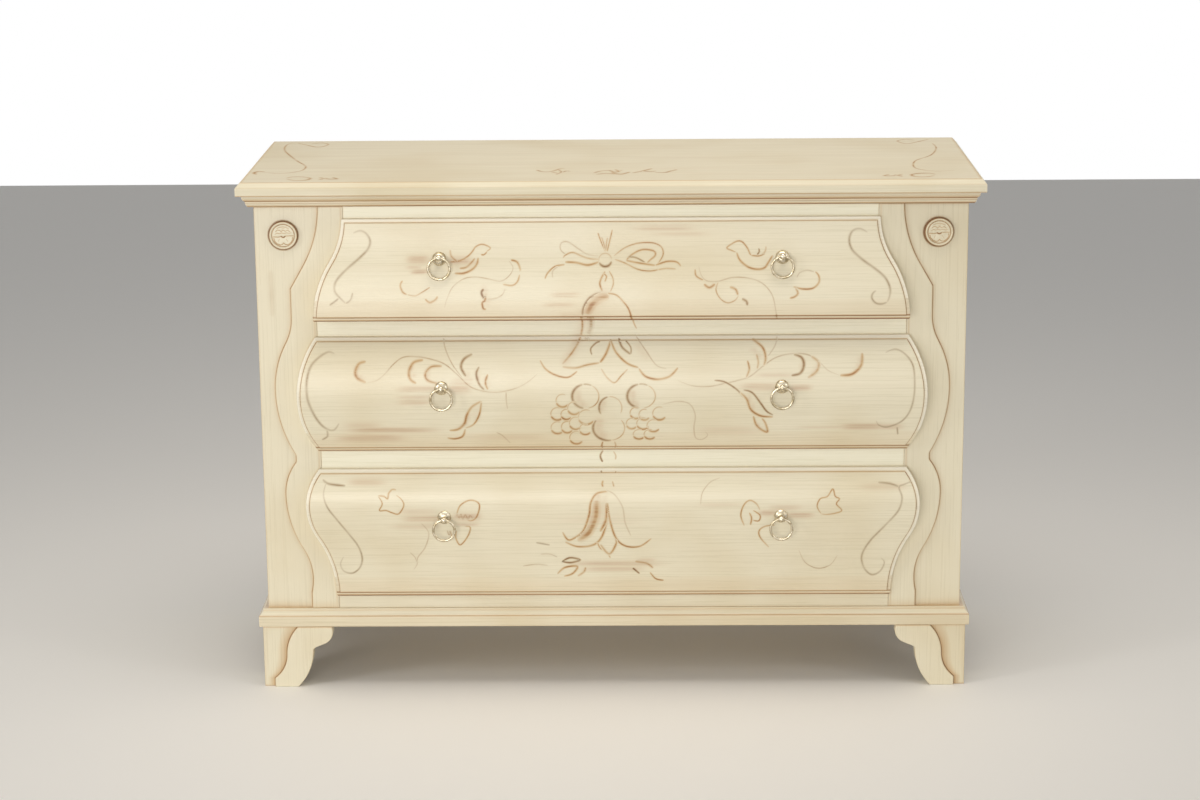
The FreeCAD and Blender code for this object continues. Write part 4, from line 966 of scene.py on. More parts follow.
def made_by(tree, name, mesh, **values):
    """Runs a tree on a mesh and returns the result as a plain piece."""
    source = place_piece(name, mesh)
    grown = source.modifiers.new("made", "NODES")
    grown.node_group = tree
    sockets = {s.name: s.identifier for s in tree.interface.items_tree if s.in_out == "INPUT"}
    for label, value in values.items():
        grown[sockets[label]] = value
    view = bpy.context.evaluated_depsgraph_get()
    view.update()
    result = bpy.data.meshes.new_from_object(source.evaluated_get(view), depsgraph=view)
    source.modifiers.remove(grown)
    bpy.data.objects.remove(source)
    return place_piece(name, result)


SCREW_SIDES = 16
# The narrow end of a countersunk head, and how deep the head is
SCREW_NECK = 0.0012
SCREW_DEPTH = 0.0011


def screw_tree():
    """Puts a screw head on each point of a path, spaced by a length."""
    tree, given = new_tree("screw_heads", Spacing="Float", Radius="Float", Material="Material")
    path = add(tree, "GeometryNodeMeshToCurve", {0: given["Geometry"]}).outputs[0]
    spaced = {"Curve": path, "Length": given["Spacing"]}
    spots = add(tree, "GeometryNodeResampleCurve", spaced, mode="LENGTH").outputs[0]
    sizes = {"Radius Top": given["Radius"], "Radius Bottom": SCREW_NECK, "Depth": SCREW_DEPTH}
    head = add(tree, "GeometryNodeMeshCone", {"Vertices": SCREW_SIDES, **sizes}).outputs["Mesh"]
    laid = add(tree, "GeometryNodeTransform", {"Geometry": head, "Rotation": (-math.pi / 2, 0, 0)}).outputs[0]
    heads = add(tree, "GeometryNodeInstanceOnPoints", {"Points": spots, "Instance": laid})
    return end_tree(tree, heads.outputs[0], given["Material"])


# How far below the back of its box the panel and the screws' path lie, so that the heads stay inside
PANEL_SUNK = 0.0004
SCREWS_SUNK = 0.0012
EASED_EDGE = 0.0008
# The screws' path runs this far in from the panel's ends, and from its foot and head
SCREWS_IN = (0.006, 0.010)
SCREW_SPACING = 0.07
SCREW_RADIUS = 0.0036
low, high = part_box("back_panel")


def round_panel(across, up):
    """The back panel's corners, moved in."""
    left, right, foot, head = low.x + across, high.x - across, low.z + up, high.z - up
    return [(left, foot), (right, foot), (right, head), (left, head)]


back_face = high.y - PANEL_SUNK
points = []
for inset, y in ((0, low.y), (0, back_face - EASED_EDGE), (EASED_EDGE, back_face)):
    points += [Vector((x, y, z)) for x, z in round_panel(inset, inset)]
faces = [(0, 1, 2, 3), (8, 9, 10, 11)]
faces += [(k, k // 4 * 4 + (k + 1) % 4, k // 4 * 4 + 4 + (k + 1) % 4, k + 4) for k in range(8)]
finish(piece_from("eased_back_panel", points, faces, [0.0] * 12, plywood), "case", "plywood", "back_panel")
screw_path = bpy.data.meshes.new("screw_path")
path_points = [(x, high.y - SCREWS_SUNK, z) for x, z in round_panel(*SCREWS_IN)]
screw_path.from_pydata(path_points, [(0, 1), (1, 2), (2, 3), (3, 0)], [])
sizes = {"Spacing": SCREW_SPACING, "Radius": SCREW_RADIUS, "Material": steel}
screws = made_by(screw_tree(), "back_screws", screw_path, **sizes)
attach(screws, "case")


# Painted ornament: thin oil-colour strokes by a folk painter, in earth colours on the glazed cream.
# Scrolls at the ends, birds, a bow, bellflowers, fruit and vines, thin as if drawn, and rubbed back.

# What a full stroke of each colour would leave of white: the oil colours are thin and clear
PIGMENTS = {
    "slate": "#AFA091", "umber": "#997C60", "terracotta": "#C59C74", "tan": "#D4B698", "pencil": "#D6C8BB",
    "rust": "#CCB39C",
}
INK = {"slate": 0.75, "umber": 1.0, "terracotta": 1.0, "tan": 1.0, "pencil": 0.85, "rust": 0.8}
CORE_BROWN = "#DFCAB0"
# The ribbons are wider than the strokes look, since their colour fades out towards both edges
SPREAD_OUT = 2.0
STROKE_THICK = 0.0000012


def ink_layers(tree, *ground):
    """The strokes' colour over the same paint that lies under them, so that their edges melt into it."""
    paint, streaks = paint_layers(tree, *ground)
    ink = add(tree, "ShaderNodeAttribute", attribute_name="ink").outputs["Fac"]
    pigment = add(tree, "ShaderNodeAttribute", attribute_name="pigment").outputs["Color"]
    caught = reckon(tree, "MULTIPLY", ink, stepped(tree, streaks, 0.36, 0.6, 0.75, 1.0))
    paint = film(tree, paint, pigment, caught)
    return film(tree, paint, colour(CORE_BROWN), stepped(tree, caught, 0.5, 1.0)), streaks


# Thinned oil colour on satin paint: as smooth as the ground, soft at its edges
ink_across = satin("thinned_oil_colour", lambda tree: ink_layers(tree, "x", 0.45))
# On the rails the oil colour lies over the same paler paint, with its painted light
ink_rails_painted_light = satin("thinned_oil_colour_rails_painted_light", lambda tree: ink_layers(tree, *PAINTED_LIGHT_GROUND))
ink_upright = satin("thinned_oil_colour_upright", lambda tree: ink_layers(tree, "z", 0.18))
ink_top = satin("waxed_oil_colour", lambda tree: ink_layers(tree, "x", 0.7), 0.5, 0.62, 1.35)


def value_of(tree, label):
    """A number kept on each point."""
    return add(tree, "GeometryNodeInputNamedAttribute", {"Name": label}, data_type="FLOAT").outputs[0]


def with_value(tree, geometry, label, value):
    """Keeps a number on each point."""
    links = {"Geometry": geometry, "Name": label, "Value": value}
    return add(tree, "GeometryNodeStoreNamedAttribute", links, data_type="FLOAT", domain="POINT").outputs[0]


def vectors(tree, operation, first, second):
    """A sum done with vectors; a vector is scaled by a number."""
    links = {0: first, "Scale" if operation == "SCALE" else 1: second}
    return add(tree, "ShaderNodeVectorMath", links, operation=operation).outputs[0]


def stroke_tree():
    """Lays strokes as thin ribbons on a surface, along a ray, with their colour fading to both edges."""
    kinds = {"Surface": "Object", "Ray": "Vector", "Lift": "Float", "Material": "Material"}
    tree, given = new_tree("painted_strokes", **kinds)
    strokes = add(tree, "GeometryNodeMeshToCurve", {0: given["Geometry"]}).outputs[0]
    tangent = add(tree, "GeometryNodeInputTangent").outputs[0]
    facing = {"Curve": strokes, "Normal": vectors(tree, "CROSS_PRODUCT", tangent, given["Ray"])}
    turned = add(tree, "GeometryNodeSetCurveNormal", facing, mode="FREE").outputs[0]
    brush = add(tree, "GeometryNodeCurvePrimitiveLine", {"Start": (-1, 0, 0), "End": (1, 0, 0)}).outputs[0]
    brush = add(tree, "GeometryNodeResampleCurve", {"Curve": brush, "Count": 9}, mode="COUNT").outputs[0]
    along_brush = add(tree, "GeometryNodeSplineParameter").outputs["Factor"]
    brush = with_value(tree, brush, "across", along_brush)
    drawn = {"Curve": turned, "Profile Curve": brush, "Scale": value_of(tree, "half_width")}
    ribbon = add(tree, "GeometryNodeCurveToMesh", drawn).outputs[0]
    ground = add(tree, "GeometryNodeObjectInfo", {"Object": given["Surface"]}, transform_space="RELATIVE")
    cast = {
        "Target Geometry": ground.outputs["Geometry"], "Ray Direction": given["Ray"], "Ray Length": 3.0,
        "Source Position": add(tree, "GeometryNodeInputPosition").outputs[0],
    }
    # The ribbons take over the glaze, the painted light and the stain of the paint they lie on
    for coat in ("glaze", "stain"):
        links = {**cast, "Attribute": value_of(tree, coat)}
        found = add(tree, "GeometryNodeRaycast", links, data_type="FLOAT").outputs
        ribbon = with_value(tree, ribbon, coat, found["Attribute"])
    lift = reckon(tree, "ADD", given["Lift"], value_of(tree, "layer"))
    lifted = vectors(tree, "SUBTRACT", found["Hit Position"], vectors(tree, "SCALE", given["Ray"], lift))
    missed = add(tree, "FunctionNodeBooleanMath", {0: found["Is Hit"]}, operation="NOT").outputs[0]
    kept = {"Geometry": ribbon, "Selection": missed}
    ribbon = add(tree, "GeometryNodeDeleteGeometry", kept, domain="POINT").outputs[0]
    ribbon = add(tree, "GeometryNodeSetPosition", {"Geometry": ribbon, "Position": lifted}).outputs[0]
    off = reckon(tree, "MULTIPLY_ADD", value_of(tree, "across"), 2.0, -1.0)
    squared = reckon(tree, "MULTIPLY", off, off)
    # A stroke is thin and soft over its whole width, and darkest along a narrow core
    body = reckon(tree, "MULTIPLY_ADD", squared, -0.5, 0.5)
    thick = reckon(tree, "ADD", body, stepped(tree, squared, 0, 0.22, 0.5, 0))
    ink = reckon(tree, "MULTIPLY", value_of(tree, "strength"), thick)
    return end_tree(tree, with_value(tree, ribbon, "ink", ink), given["Material"])


def through(points, step=2.5):
    """A smooth line through points, in millimetres, with a spot every step or so."""
    ends = [points[0], *points, points[-1]]
    line = []
    for a, b, c, d in zip(ends, ends[1:], ends[2:], ends[3:]):
        pieces = max(1, round(math.dist(b, c) / step))
        for i in range(pieces):
            t = i / pieces
            line.append([
                0.5
                * (2 * q + (r - p) * t + (2 * p - 5 * q + 4 * r - s) * t**2 + (3 * q - p - 3 * r + s) * t**3)
                for p, q, r, s in zip(a, b, c, d)
            ])
    return [*line, list(points[-1])]


class Sheaf:
    """Strokes gathered for one surface."""

    def __init__(self):
        self.points, self.edges = [], []
        self.values = {"half_width": [], "strength": [], "layer": [], "pigment": []}
        self.count = 0

    def stroke(self, spots, half_width, pigment, strength=1.0):
        """Adds a stroke; spots are (point, share along the whole stroke)."""
        self.count += 1
        for i, (point, share) in enumerate(spots):
            taper = math.sqrt(max(0.0, 1 - (2 * share - 1) ** 4))
            load = 0.8 + 0.45 * noise.noise(point * 45)
            self.points.append(point)
            self.values["half_width"].append(half_width * SPREAD_OUT * MM * (0.4 + 0.6 * taper))
            self.values["strength"].append(min(1.0, INK[pigment] * strength * load * (0.15 + 0.85 * taper)))
            self.values["layer"].append(self.count * STROKE_THICK)
            self.values["pigment"] += colour(PIGMENTS[pigment])
            if i:
                self.edges.append((len(self.points) - 2, len(self.points) - 1))

    def lay(self, name, surface, ray, lift, body, material):
        """Makes the strokes' piece, laid on a surface along a ray."""
        mesh = bpy.data.meshes.new(name)
        mesh.from_pydata(self.points, self.edges, [])
        for label in ("half_width", "strength", "layer"):
            store(mesh, label, self.values[label])
        tint = mesh.attributes.new("pigment", "FLOAT_COLOR", "POINT")
        tint.data.foreach_set("color", self.values["pigment"])
        piece = made_by(strokes_tree, name, mesh, Surface=surface, Ray=ray, Lift=lift, Material=material)
        piece.data.shade_smooth()
        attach(piece, body)


strokes_tree = stroke_tree()
# Strokes on the fronts and the rails between them: half-width in millimetres, pigment, and points (x, z)
FRONT_STROKES = [
    # end scroll
    (1.7, "slate", (-422, 785), (-411, 789), (-401, 785), (-394, 773), (-398, 759), (-413, 744), (-431, 729),
        (-447, 713), (-453, 701), (-451, 689), (-435, 672)),
    (1.3, "slate", (-435, 672), (-427, 678), (-423, 690)),
    (1.3, "slate", (-446, 681), (-452, 676), (-462, 669)),
    # bird
    (1.1, "terracotta", (-204, 754), (-197, 760), (-210, 766), (-221, 762), (-226, 755), (-234, 747),
        (-247, 740), (-263, 738)),
    (1.0, "terracotta", (-213, 750), (-208, 749), (-202, 754)),
    (1.5, "terracotta", (-217, 745), (-219, 735), (-227, 726), (-241, 720), (-256, 720)),
    (1.5, "tan", (-222, 744), (-230, 735), (-238, 729), (-248, 728)),
    (1.3, "tan", (-263, 758), (-261, 747), (-251, 738)),
    # vine
    (1.3, "terracotta", (-341, 709), (-345, 701), (-341, 690), (-334, 686)),
    (1.0, "tan", (-334, 686), (-321, 684), (-309, 690), (-296, 698)),
    (1.4, "terracotta", (-305, 679), (-297, 673), (-287, 678), (-284, 684)),
    (0.8, "pencil", (-273, 664), (-269, 678), (-259, 698), (-241, 711), (-222, 714), (-201, 711),
        (-181, 707), (-167, 715), (-160, 728), (-167, 740)),
    (1.4, "terracotta", (-164, 741), (-153, 737), (-148, 725), (-149, 722)),
    (1.2, "terracotta", (-177, 702), (-162, 700), (-153, 706), (-149, 718)),
    (1.5, "umber", (-208, 695), (-212, 689), (-209, 681), (-204, 683)),
    (1.4, "terracotta", (-205, 682), (-207, 675), (-211, 672), (-209, 662), (-204, 662)),
    (0.9, "pencil", (-202, 678), (-190, 679), (-178, 685), (-173, 695)),
    # bow
    (1.0, "terracotta", (-21, 784), (-15, 768), (-8, 753)),
    (1.0, "tan", (-15, 777), (-11, 765), (-8, 753)),
    (1.0, "tan", (-5, 776), (-7, 765), (-8, 754)),
    (1.0, "terracotta", (3, 789), (-1, 772), (-6, 753)),
    (1.0, "pencil", (-19, 746), (-38, 749), (-53, 758), (-70, 769), (-81, 767), (-82, 757), (-74, 750),
        (-62, 751)),
    (1.2, "tan", (-18, 741), (-34, 742), (-47, 746), (-62, 752), (-74, 748), (-78, 743)),
    (1.5, "terracotta", (-19, 737), (-37, 732), (-57, 736), (-75, 737)),
    (1.2, "terracotta", (-75, 733), (-91, 730), (-103, 720), (-108, 710)),
    (1.0, "pencil", (-86, 730), (-95, 723), (-95, 712)),
    # cord
    (1.3, "terracotta", (-9, 722), (-15, 712), (-18, 702), (-14, 690)),
    (1.0, "tan", (-3, 723), (3, 712), (4, 701), (-1, 689)),
    (1.0, "terracotta", (-13, 719), (-7, 714), (-10, 705)),
    # bell
    (1.6, "umber", (-47, 650), (-45, 663), (-37, 677), (-25, 685), (-9, 687)),
    (1.2, "terracotta", (-9, 687), (8, 684), (20, 673), (30, 658), (37, 631), (42, 620)),
    (4.5, "tan", (-39, 652), (-32, 667), (-19, 678), (-3, 682)),
    # bow
    (1.1, "tan", (5, 746), (23, 759), (43, 766), (67, 767), (82, 761), (86, 749), (79, 736), (73, 731)),
    (1.3, "terracotta", (25, 739), (36, 749), (52, 756), (70, 754), (73, 747), (64, 739), (58, 733)),
    (1.1, "umber", (28, 745), (42, 743), (57, 735)),
    (1.3, "terracotta", (25, 739), (40, 736), (58, 733), (73, 731)),
    (1.1, "tan", (6, 741), (23, 735), (44, 725), (64, 722), (81, 725)),
    (1.2, "terracotta", (73, 731), (92, 737), (108, 736), (115, 729)),
    (1.0, "tan", (77, 724), (92, 726), (107, 725)),
    # bird
    (1.1, "terracotta", (205, 751), (198, 754), (190, 758), (199, 765), (208, 769), (216, 767), (224, 757),
        (229, 747), (238, 745)),
    (1.5, "terracotta", (206, 751), (211, 739), (224, 728), (238, 724), (251, 726), (258, 735), (265, 746)),
    (1.1, "umber", (239, 746), (243, 752), (242, 758)),
    (1.2, "tan", (247, 746), (253, 753), (254, 761)),
    (1.1, "tan", (229, 746), (243, 745), (253, 749)),
    # vine
    (1.1, "terracotta", (138, 725), (139, 715), (145, 710), (152, 707)),
    (1.7, "terracotta", (152, 701), (161, 695), (171, 701)),
    (1.0, "tan", (176, 705), (172, 691), (179, 677), (191, 670), (203, 674), (209, 682)),
    (1.6, "terracotta", (194, 696), (204, 692), (208, 682)),
    (1.6, "umber", (214, 677), (222, 672), (223, 665)),
    (0.9, "pencil", (144, 729), (148, 715), (157, 706), (175, 705), (199, 711), (224, 710), (247, 702),
        (263, 684), (269, 662), (273, 634)),
    (1.4, "terracotta", (298, 696), (313, 692), (330, 693), (340, 702), (340, 713), (334, 720)),
    (1.5, "terracotta", (302, 694), (306, 685), (300, 679), (292, 677)),
    (0.9, "pencil", (333, 719), (321, 722), (309, 718), (304, 710)),
    # end scroll
    (1.7, "slate", (420, 782), (407, 788), (395, 784), (390, 770), (395, 754), (412, 738), (432, 724),
        (448, 710), (456, 694), (456, 681), (452, 670)),
    (1.4, "slate", (452, 670), (444, 667), (434, 668), (427, 676), (428, 684), (434, 689)),
    # end scroll
    (1.8, "slate", (-457, 585), (-467, 588), (-481, 581), (-496, 566), (-503, 543), (-503, 514), (-495, 489),
        (-484, 469), (-472, 458), (-461, 457), (-452, 469)),
    (1.4, "slate", (-473, 457), (-473, 445), (-483, 438)),
    # vine
    (2.0, "terracotta", (-405, 573), (-417, 569), (-423, 555), (-418, 545), (-405, 539)),
    (1.0, "pencil", (-405, 539), (-388, 542), (-374, 553), (-360, 568), (-344, 579), (-322, 580),
        (-298, 576), (-275, 568), (-254, 551), (-234, 532), (-212, 524), (-187, 522), (-159, 528),
        (-139, 538), (-122, 552)),
    (2.0, "terracotta", (-310, 575), (-326, 571), (-334, 557), (-332, 544), (-322, 537)),
    (2.0, "tan", (-279, 565), (-297, 564), (-307, 553), (-303, 542), (-283, 536)),
    (0.9, "pencil", (-278, 613), (-274, 592), (-262, 567), (-246, 546)),
    (1.8, "umber", (-229, 584), (-243, 576), (-248, 563), (-240, 548)),
    (1.5, "umber", (-218, 564), (-223, 552), (-218, 535), (-210, 526)),
    (1.4, "terracotta", (-204, 552), (-208, 538), (-204, 526)),
    (0.9, "pencil", (-174, 523), (-174, 507), (-172, 493)),
    # leaf
    (1.8, "terracotta", (-215, 507), (-231, 497), (-240, 482), (-244, 468), (-255, 457), (-270, 455)),
    (1.3, "terracotta", (-215, 507), (-219, 484), (-229, 466), (-243, 459)),
    (1.5, "terracotta", (-243, 458), (-248, 444), (-261, 439), (-274, 441)),
    # bell
    (3.6, "pencil", (-34, 649), (-34, 623), (-43, 604)),
    (1.5, "tan", (-49, 649), (-48, 623), (-53, 604), (-65, 585), (-81, 567)),
    (1.3, "terracotta", (-118, 574), (-109, 560), (-93, 550), (-72, 546), (-56, 556)),
    (1.6, "tan", (-81, 563), (-60, 561), (-39, 566), (-19, 569)),
    (1.1, "umber", (-32, 581), (-34, 591), (-25, 600), (-18, 602)),
    # pencil
    (0.9, "pencil", (-192, 451), (-182, 445), (-169, 430)),
    # bell
    (1.7, "terracotta", (0, 605), (-9, 583), (-19, 569)),
    (1.5, "terracotta", (-1, 604), (8, 585), (26, 568), (45, 561)),
    (1.6, "terracotta", (45, 560), (56, 547), (76, 542), (96, 547), (110, 561)),
    (1.5, "umber", (12, 607), (18, 593), (32, 582)),
    (1.0, "umber", (32, 582), (32, 593), (23, 604)),
    (0.9, "pencil", (39, 612), (56, 589), (74, 565), (91, 559)),
    (1.2, "tan", (-17, 560), (-7, 545), (5, 537), (16, 548), (27, 559)),
    # vine
    (1.0, "pencil", (109, 540), (134, 531), (162, 530), (187, 535), (206, 539), (228, 546), (249, 562),
        (271, 576), (298, 582), (324, 580), (343, 568), (357, 555), (376, 547)),
    (2.0, "terracotta", (376, 547), (396, 549), (411, 563), (413, 583)),
    (1.2, "umber", (169, 540), (187, 537), (207, 524), (217, 511)),
    (1.8, "umber", (300, 581), (313, 576), (317, 564), (311, 551), (296, 547)),
    (1.9, "tan", (329, 578), (341, 568), (338, 554), (323, 543)),
    (1.9, "tan", (232, 605), (249, 592), (254, 576), (251, 563)),
    (1.5, "tan", (224, 572), (227, 558), (222, 544)),
    (1.4, "tan", (239, 582), (242, 569), (240, 558)),
    (0.9, "pencil", (274, 612), (270, 595), (258, 578)),
    # leaf
    (1.3, "umber", (217, 524), (232, 519), (246, 501), (256, 487), (267, 480)),
    (1.7, "terracotta", (212, 520), (223, 508), (230, 490), (246, 479), (267, 477)),
    (1.6, "terracotta", (234, 479), (239, 463), (249, 453), (258, 450), (254, 466), (248, 475)),
    # fruit
    (0.9, "pencil", (84, 500), (109, 505), (129, 500), (138, 481), (136, 458), (139, 439), (150, 436),
        (159, 444), (154, 451)),
    # end scroll
    (1.3, "slate", (451, 583), (468, 588), (484, 580), (496, 563), (499, 538), (498, 510), (492, 486),
        (479, 468), (457, 458), (442, 461), (437, 470)),
    (1.1, "slate", (472, 458), (474, 443)),
    # end scroll
    (1.6, "slate", (-484, 370), (-473, 363), (-445, 360)),
    (1.3, "slate", (-478, 364), (-482, 346), (-476, 325), (-460, 302), (-443, 278), (-428, 254), (-422, 231),
        (-427, 213), (-440, 203), (-454, 207), (-459, 220), (-453, 234)),
    # tulip
    (1.0, "terracotta", (-391, 344), (-384, 331), (-389, 319), (-378, 319), (-368, 315), (-357, 313),
        (-348, 328), (-353, 339), (-361, 345)),
    (1.2, "terracotta", (-391, 344), (-381, 343), (-375, 339), (-373, 348), (-367, 354), (-360, 353)),
    # pod
    (1.1, "terracotta", (-261, 308), (-254, 327), (-237, 336), (-222, 329), (-227, 307), (-238, 300),
        (-246, 307)),
    (1.1, "terracotta", (-247, 290), (-238, 288), (-243, 271), (-256, 255), (-263, 269), (-261, 283)),
    (0.9, "pencil", (-320, 296), (-308, 278), (-315, 251), (-328, 232), (-330, 219), (-336, 209)),
    (0.8, "pencil", (-341, 241), (-333, 232), (-330, 222)),
    # bell
    (1.6, "terracotta", (-5, 350), (-26, 346), (-36, 331), (-39, 310), (-49, 281), (-63, 268), (-75, 264),
        (-84, 279)),
    (4.5, "tan", (-26, 335), (-28, 305), (-40, 277), (-59, 262)),
    (1.6, "terracotta", (-80, 260), (-59, 251), (-33, 254), (-18, 270), (-9, 304), (-8, 327)),
    (1.2, "terracotta", (-26, 260), (-21, 248), (-10, 240), (-4, 229)),
    # grass
    (1.4, "umber", (-86, 223), (-72, 230), (-55, 226), (-71, 221), (-86, 223)),
    (1.5, "terracotta", (-94, 200), (-81, 212), (-60, 214), (-68, 201), (-83, 196)),
    (1.6, "tan", (-60, 196), (-49, 204), (-46, 213)),
    (0.9, "pencil", (-152, 215), (-129, 218), (-109, 216)),
    (1.2, "slate", (-129, 259), (-105, 254)),
    (0.9, "pencil", (-122, 237), (-106, 237), (-93, 231)),
    # bell
    (2.0, "terracotta", (-9, 331), (-11, 301), (-21, 279)),
    (1.4, "terracotta", (-8, 331), (-5, 304), (5, 268), (21, 252), (45, 251), (65, 266)),
    (1.0, "pencil", (-11, 352), (4, 344), (17, 323), (21, 296), (31, 270)),
    (1.6, "terracotta", (-21, 255), (-6, 237), (6, 257), (4, 265)),
    # grass
    (1.2, "umber", (33, 211), (45, 200)),
    (1.6, "tan", (37, 223), (57, 219), (68, 210)),
    (1.1, "terracotta", (62, 203), (72, 191), (86, 188)),
    # pod
    (1.1, "terracotta", (220, 289), (214, 308), (219, 326), (229, 334), (240, 328), (246, 317)),
    (1.2, "terracotta", (230, 290), (232, 303), (228, 313)),
    (1.0, "terracotta", (234, 299), (244, 298), (246, 308), (234, 317)),
    (1.1, "terracotta", (262, 248), (247, 267), (245, 280), (255, 288), (271, 290)),
    # tulip
    (1.0, "terracotta", (348, 310), (341, 323), (346, 336), (358, 340), (367, 352), (371, 340), (378, 336),
        (373, 327), (382, 316), (371, 311), (357, 309), (348, 310)),
    # pencil
    (0.8, "pencil", (312, 243), (323, 220), (344, 209), (365, 215), (377, 233)),
    (0.8, "pencil", (147, 327), (150, 347), (163, 363), (180, 370)),
    # end scroll
    (1.4, "slate", (442, 362), (462, 360), (477, 355)),
    (1.4, "slate", (498, 363), (484, 358), (477, 354), (482, 337), (476, 315), (455, 289), (431, 260),
        (418, 233), (422, 210), (435, 197), (449, 203), (456, 219), (450, 228)),
    # bead
    (1.3, "umber", (-15, 413), (-20, 403), (-16, 392)),
    (1.0, "tan", (2, 411), (6, 403), (5, 396)),
    (1.3, "umber", (-18, 381), (-19, 376)),
    (1.3, "terracotta", (-15, 367), (-17, 361), (-15, 356)),
    (1.0, "tan", (0, 366), (3, 356)),
    (1.0, "tan", (5, 380), (7, 376)),
    (1.2, "tan", (-15, 433), (-17, 426), (-16, 419)),
    (1.0, "tan", (4, 433), (6, 426), (5, 419)),
    # scribble
    (1.0, "rust", (-260, 314), (-256, 305), (-253, 312), (-250, 303), (-246, 311), (-241, 303), (-238, 310),
        (-233, 303)),
    (1.0, "rust", (-277, 283), (-274, 274), (-272, 281), (-269, 270), (-266, 278)),
]
# Strokes on the top board, with points (x, y); the ones at its ends are painted left and right alike
TOP_STROKES = [
    (1.6, "tan", (-561, 224), (-574, 216), (-577, 178), (-571, 132), (-555, 76), (-536, 18), (-520, -23),
        (-514, -50), (-517, -81), (-530, -101), (-548, -111), (-567, -105), (-581, -94)),
    (2.4, "terracotta", (-577, -95), (-588, -89), (-594, -104), (-588, -120)),
    (1.4, "tan", (562, 179), (563, 121), (546, 44), (513, -20), (507, -94), (537, -126), (570, -117)),
    (2.4, "tan", (-124, -90), (-113, -109), (-99, -107), (-85, -81), (-77, -77)),
    (2.2, "tan", (-99, -112), (-86, -123), (-74, -103), (-67, -108)),
    (1.8, "tan", (-90, -138), (-82, -113), (-87, -92)),
    (2.4, "tan", (-28, -125), (-16, -105), (-3, -100), (7, -116), (19, -96)),
    (2.4, "tan", (-24, -140), (-9, -131), (7, -136), (22, -147)),
    (2.2, "terracotta", (7, -90), (13, -111), (3, -126), (18, -137), (32, -117)),
    (2.2, "tan", (36, -127), (49, -112), (63, -92), (69, -82)),
    (2.2, "terracotta", (53, -107), (65, -113), (76, -108)),
    (2.4, "tan", (73, -123), (90, -124), (100, -109), (111, -94)),
]
TOP_END_STROKES = [
    (1.7, "tan", (-561, 224), (-542, 200), (-522, 176), (-509, 182), (-504, 208), (-519, 223), (-535, 212)),
    (2.6, "tan", (-533, -160), (-525, -148), (-508, -148), (-494, -161), (-498, -179), (-516, -183),
        (-531, -170)),
    (2.6, "tan", (-480, -154), (-464, -170), (-449, -170), (-458, -155)),
    (2.2, "tan", (-478, -177), (-465, -160)),
]
for half_width, pigment, *points in TOP_END_STROKES:
    TOP_STROKES += [(half_width, pigment, *[(side * x, y) for x, y in points]) for side in (1, -1)]

# Fruit, as (x, z, half-width, half-height) in millimetres
FRUIT = {
    "apples": [(-43, 514, 22.1, 20.5), (49, 514, 23.2, 20.5)],
    "pear_neck": [(-2, 494, 18.9, 19.5)],
    "pear_body": [(-5, 458, 26.2, 23.5)],
    "grapes": [
        (-81, 507, 10.8, 11.0), (-90, 484, 10.8, 11.0), (-75, 483, 9.0, 9.0), (-62, 494, 10.8, 11.0),
        (-42, 478, 13.3, 13.0), (-90, 459, 10.8, 11.0), (-74, 460, 9.7, 10.5), (-60, 467, 10.3, 11.0),
        (-44, 456, 9.7, 10.0), (-59, 440, 11.2, 12.0), (40, 485, 9.7, 10.0), (54, 482, 9.0, 9.5),
        (79, 484, 11.2, 11.5), (33, 466, 9.0, 9.5), (52, 466, 10.8, 10.5), (69, 462, 10.8, 11.0),
        (45, 446, 9.7, 9.0), (63, 446, 9.7, 9.0),
    ],
    "knot": [(-9, 740, 10.5, 10.5)],
}
# Arcs each fruit is drawn with: from and to in degrees, half-width in millimetres, pigment and strength
FRUIT_ARCS = {
    "apples": [(-80, 62, 0.9, "tan", 1.0), (100, 262, 1.8, "umber", 0.85), (62, 100, 1.0, "umber", 0.7)],
    "pear_neck": [(-30, 100, 0.8, "tan", 1.0), (100, 216, 1.3, "umber", 0.8)],
    "pear_body": [(-80, 40, 0.9, "tan", 1.0), (142, 280, 1.7, "umber", 0.85)],
    "grapes": [(60, 200, 0.8, "terracotta", 0.6), (196, 330, 1.6, "terracotta", 1.0)],
    "knot": [(0, 200, 0.8, "tan", 0.8), (200, 350, 1.6, "umber", 1.0)],
}

# Strokes start in front of the chest or above it, and go straight to the surface
IN_FRONT = -0.4
OVERHEAD = 1.2
BACKWARD = (0, 1, 0)
DOWNWARD = (0, 0, -1)
LIFT_ON_FRONTS = 0.00012
LIFT_ON_CASE = 0.0001
fields = {drawer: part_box(f"{drawer}_drawer_front") for drawer in DRAWERS}
front_sheaves = {drawer: Sheaf() for drawer in fields}
rail_sheaves = {"upper_rail": Sheaf(), "lower_rail": Sheaf()}
sheaves = {**front_sheaves, **rail_sheaves}


def surface_at(z):
    """Which front or rail shows at a height, in metres."""
    for drawer, (low, high) in fields.items():
        if low.z <= z <= high.z:
            return drawer
    return "upper_rail" if z > fields["middle"][1].z else "lower_rail"


def draw_on_fronts(points, half_width, pigment, strength=1.0):
    """Draws a stroke, split where it runs on from a front to a rail."""
    line = through(points)
    count = len(line) - 1
    run, where = [], None
    for i, (x, z) in enumerate(line):
        here = surface_at(z * MM)
        if here != where and run:
            sheaves[where].stroke(run, half_width, pigment, strength)
            run = []
        where = here
        run.append((Vector((x * MM, IN_FRONT, z * MM)), i / max(1, count)))
    sheaves[where].stroke(run, half_width, pigment, strength)


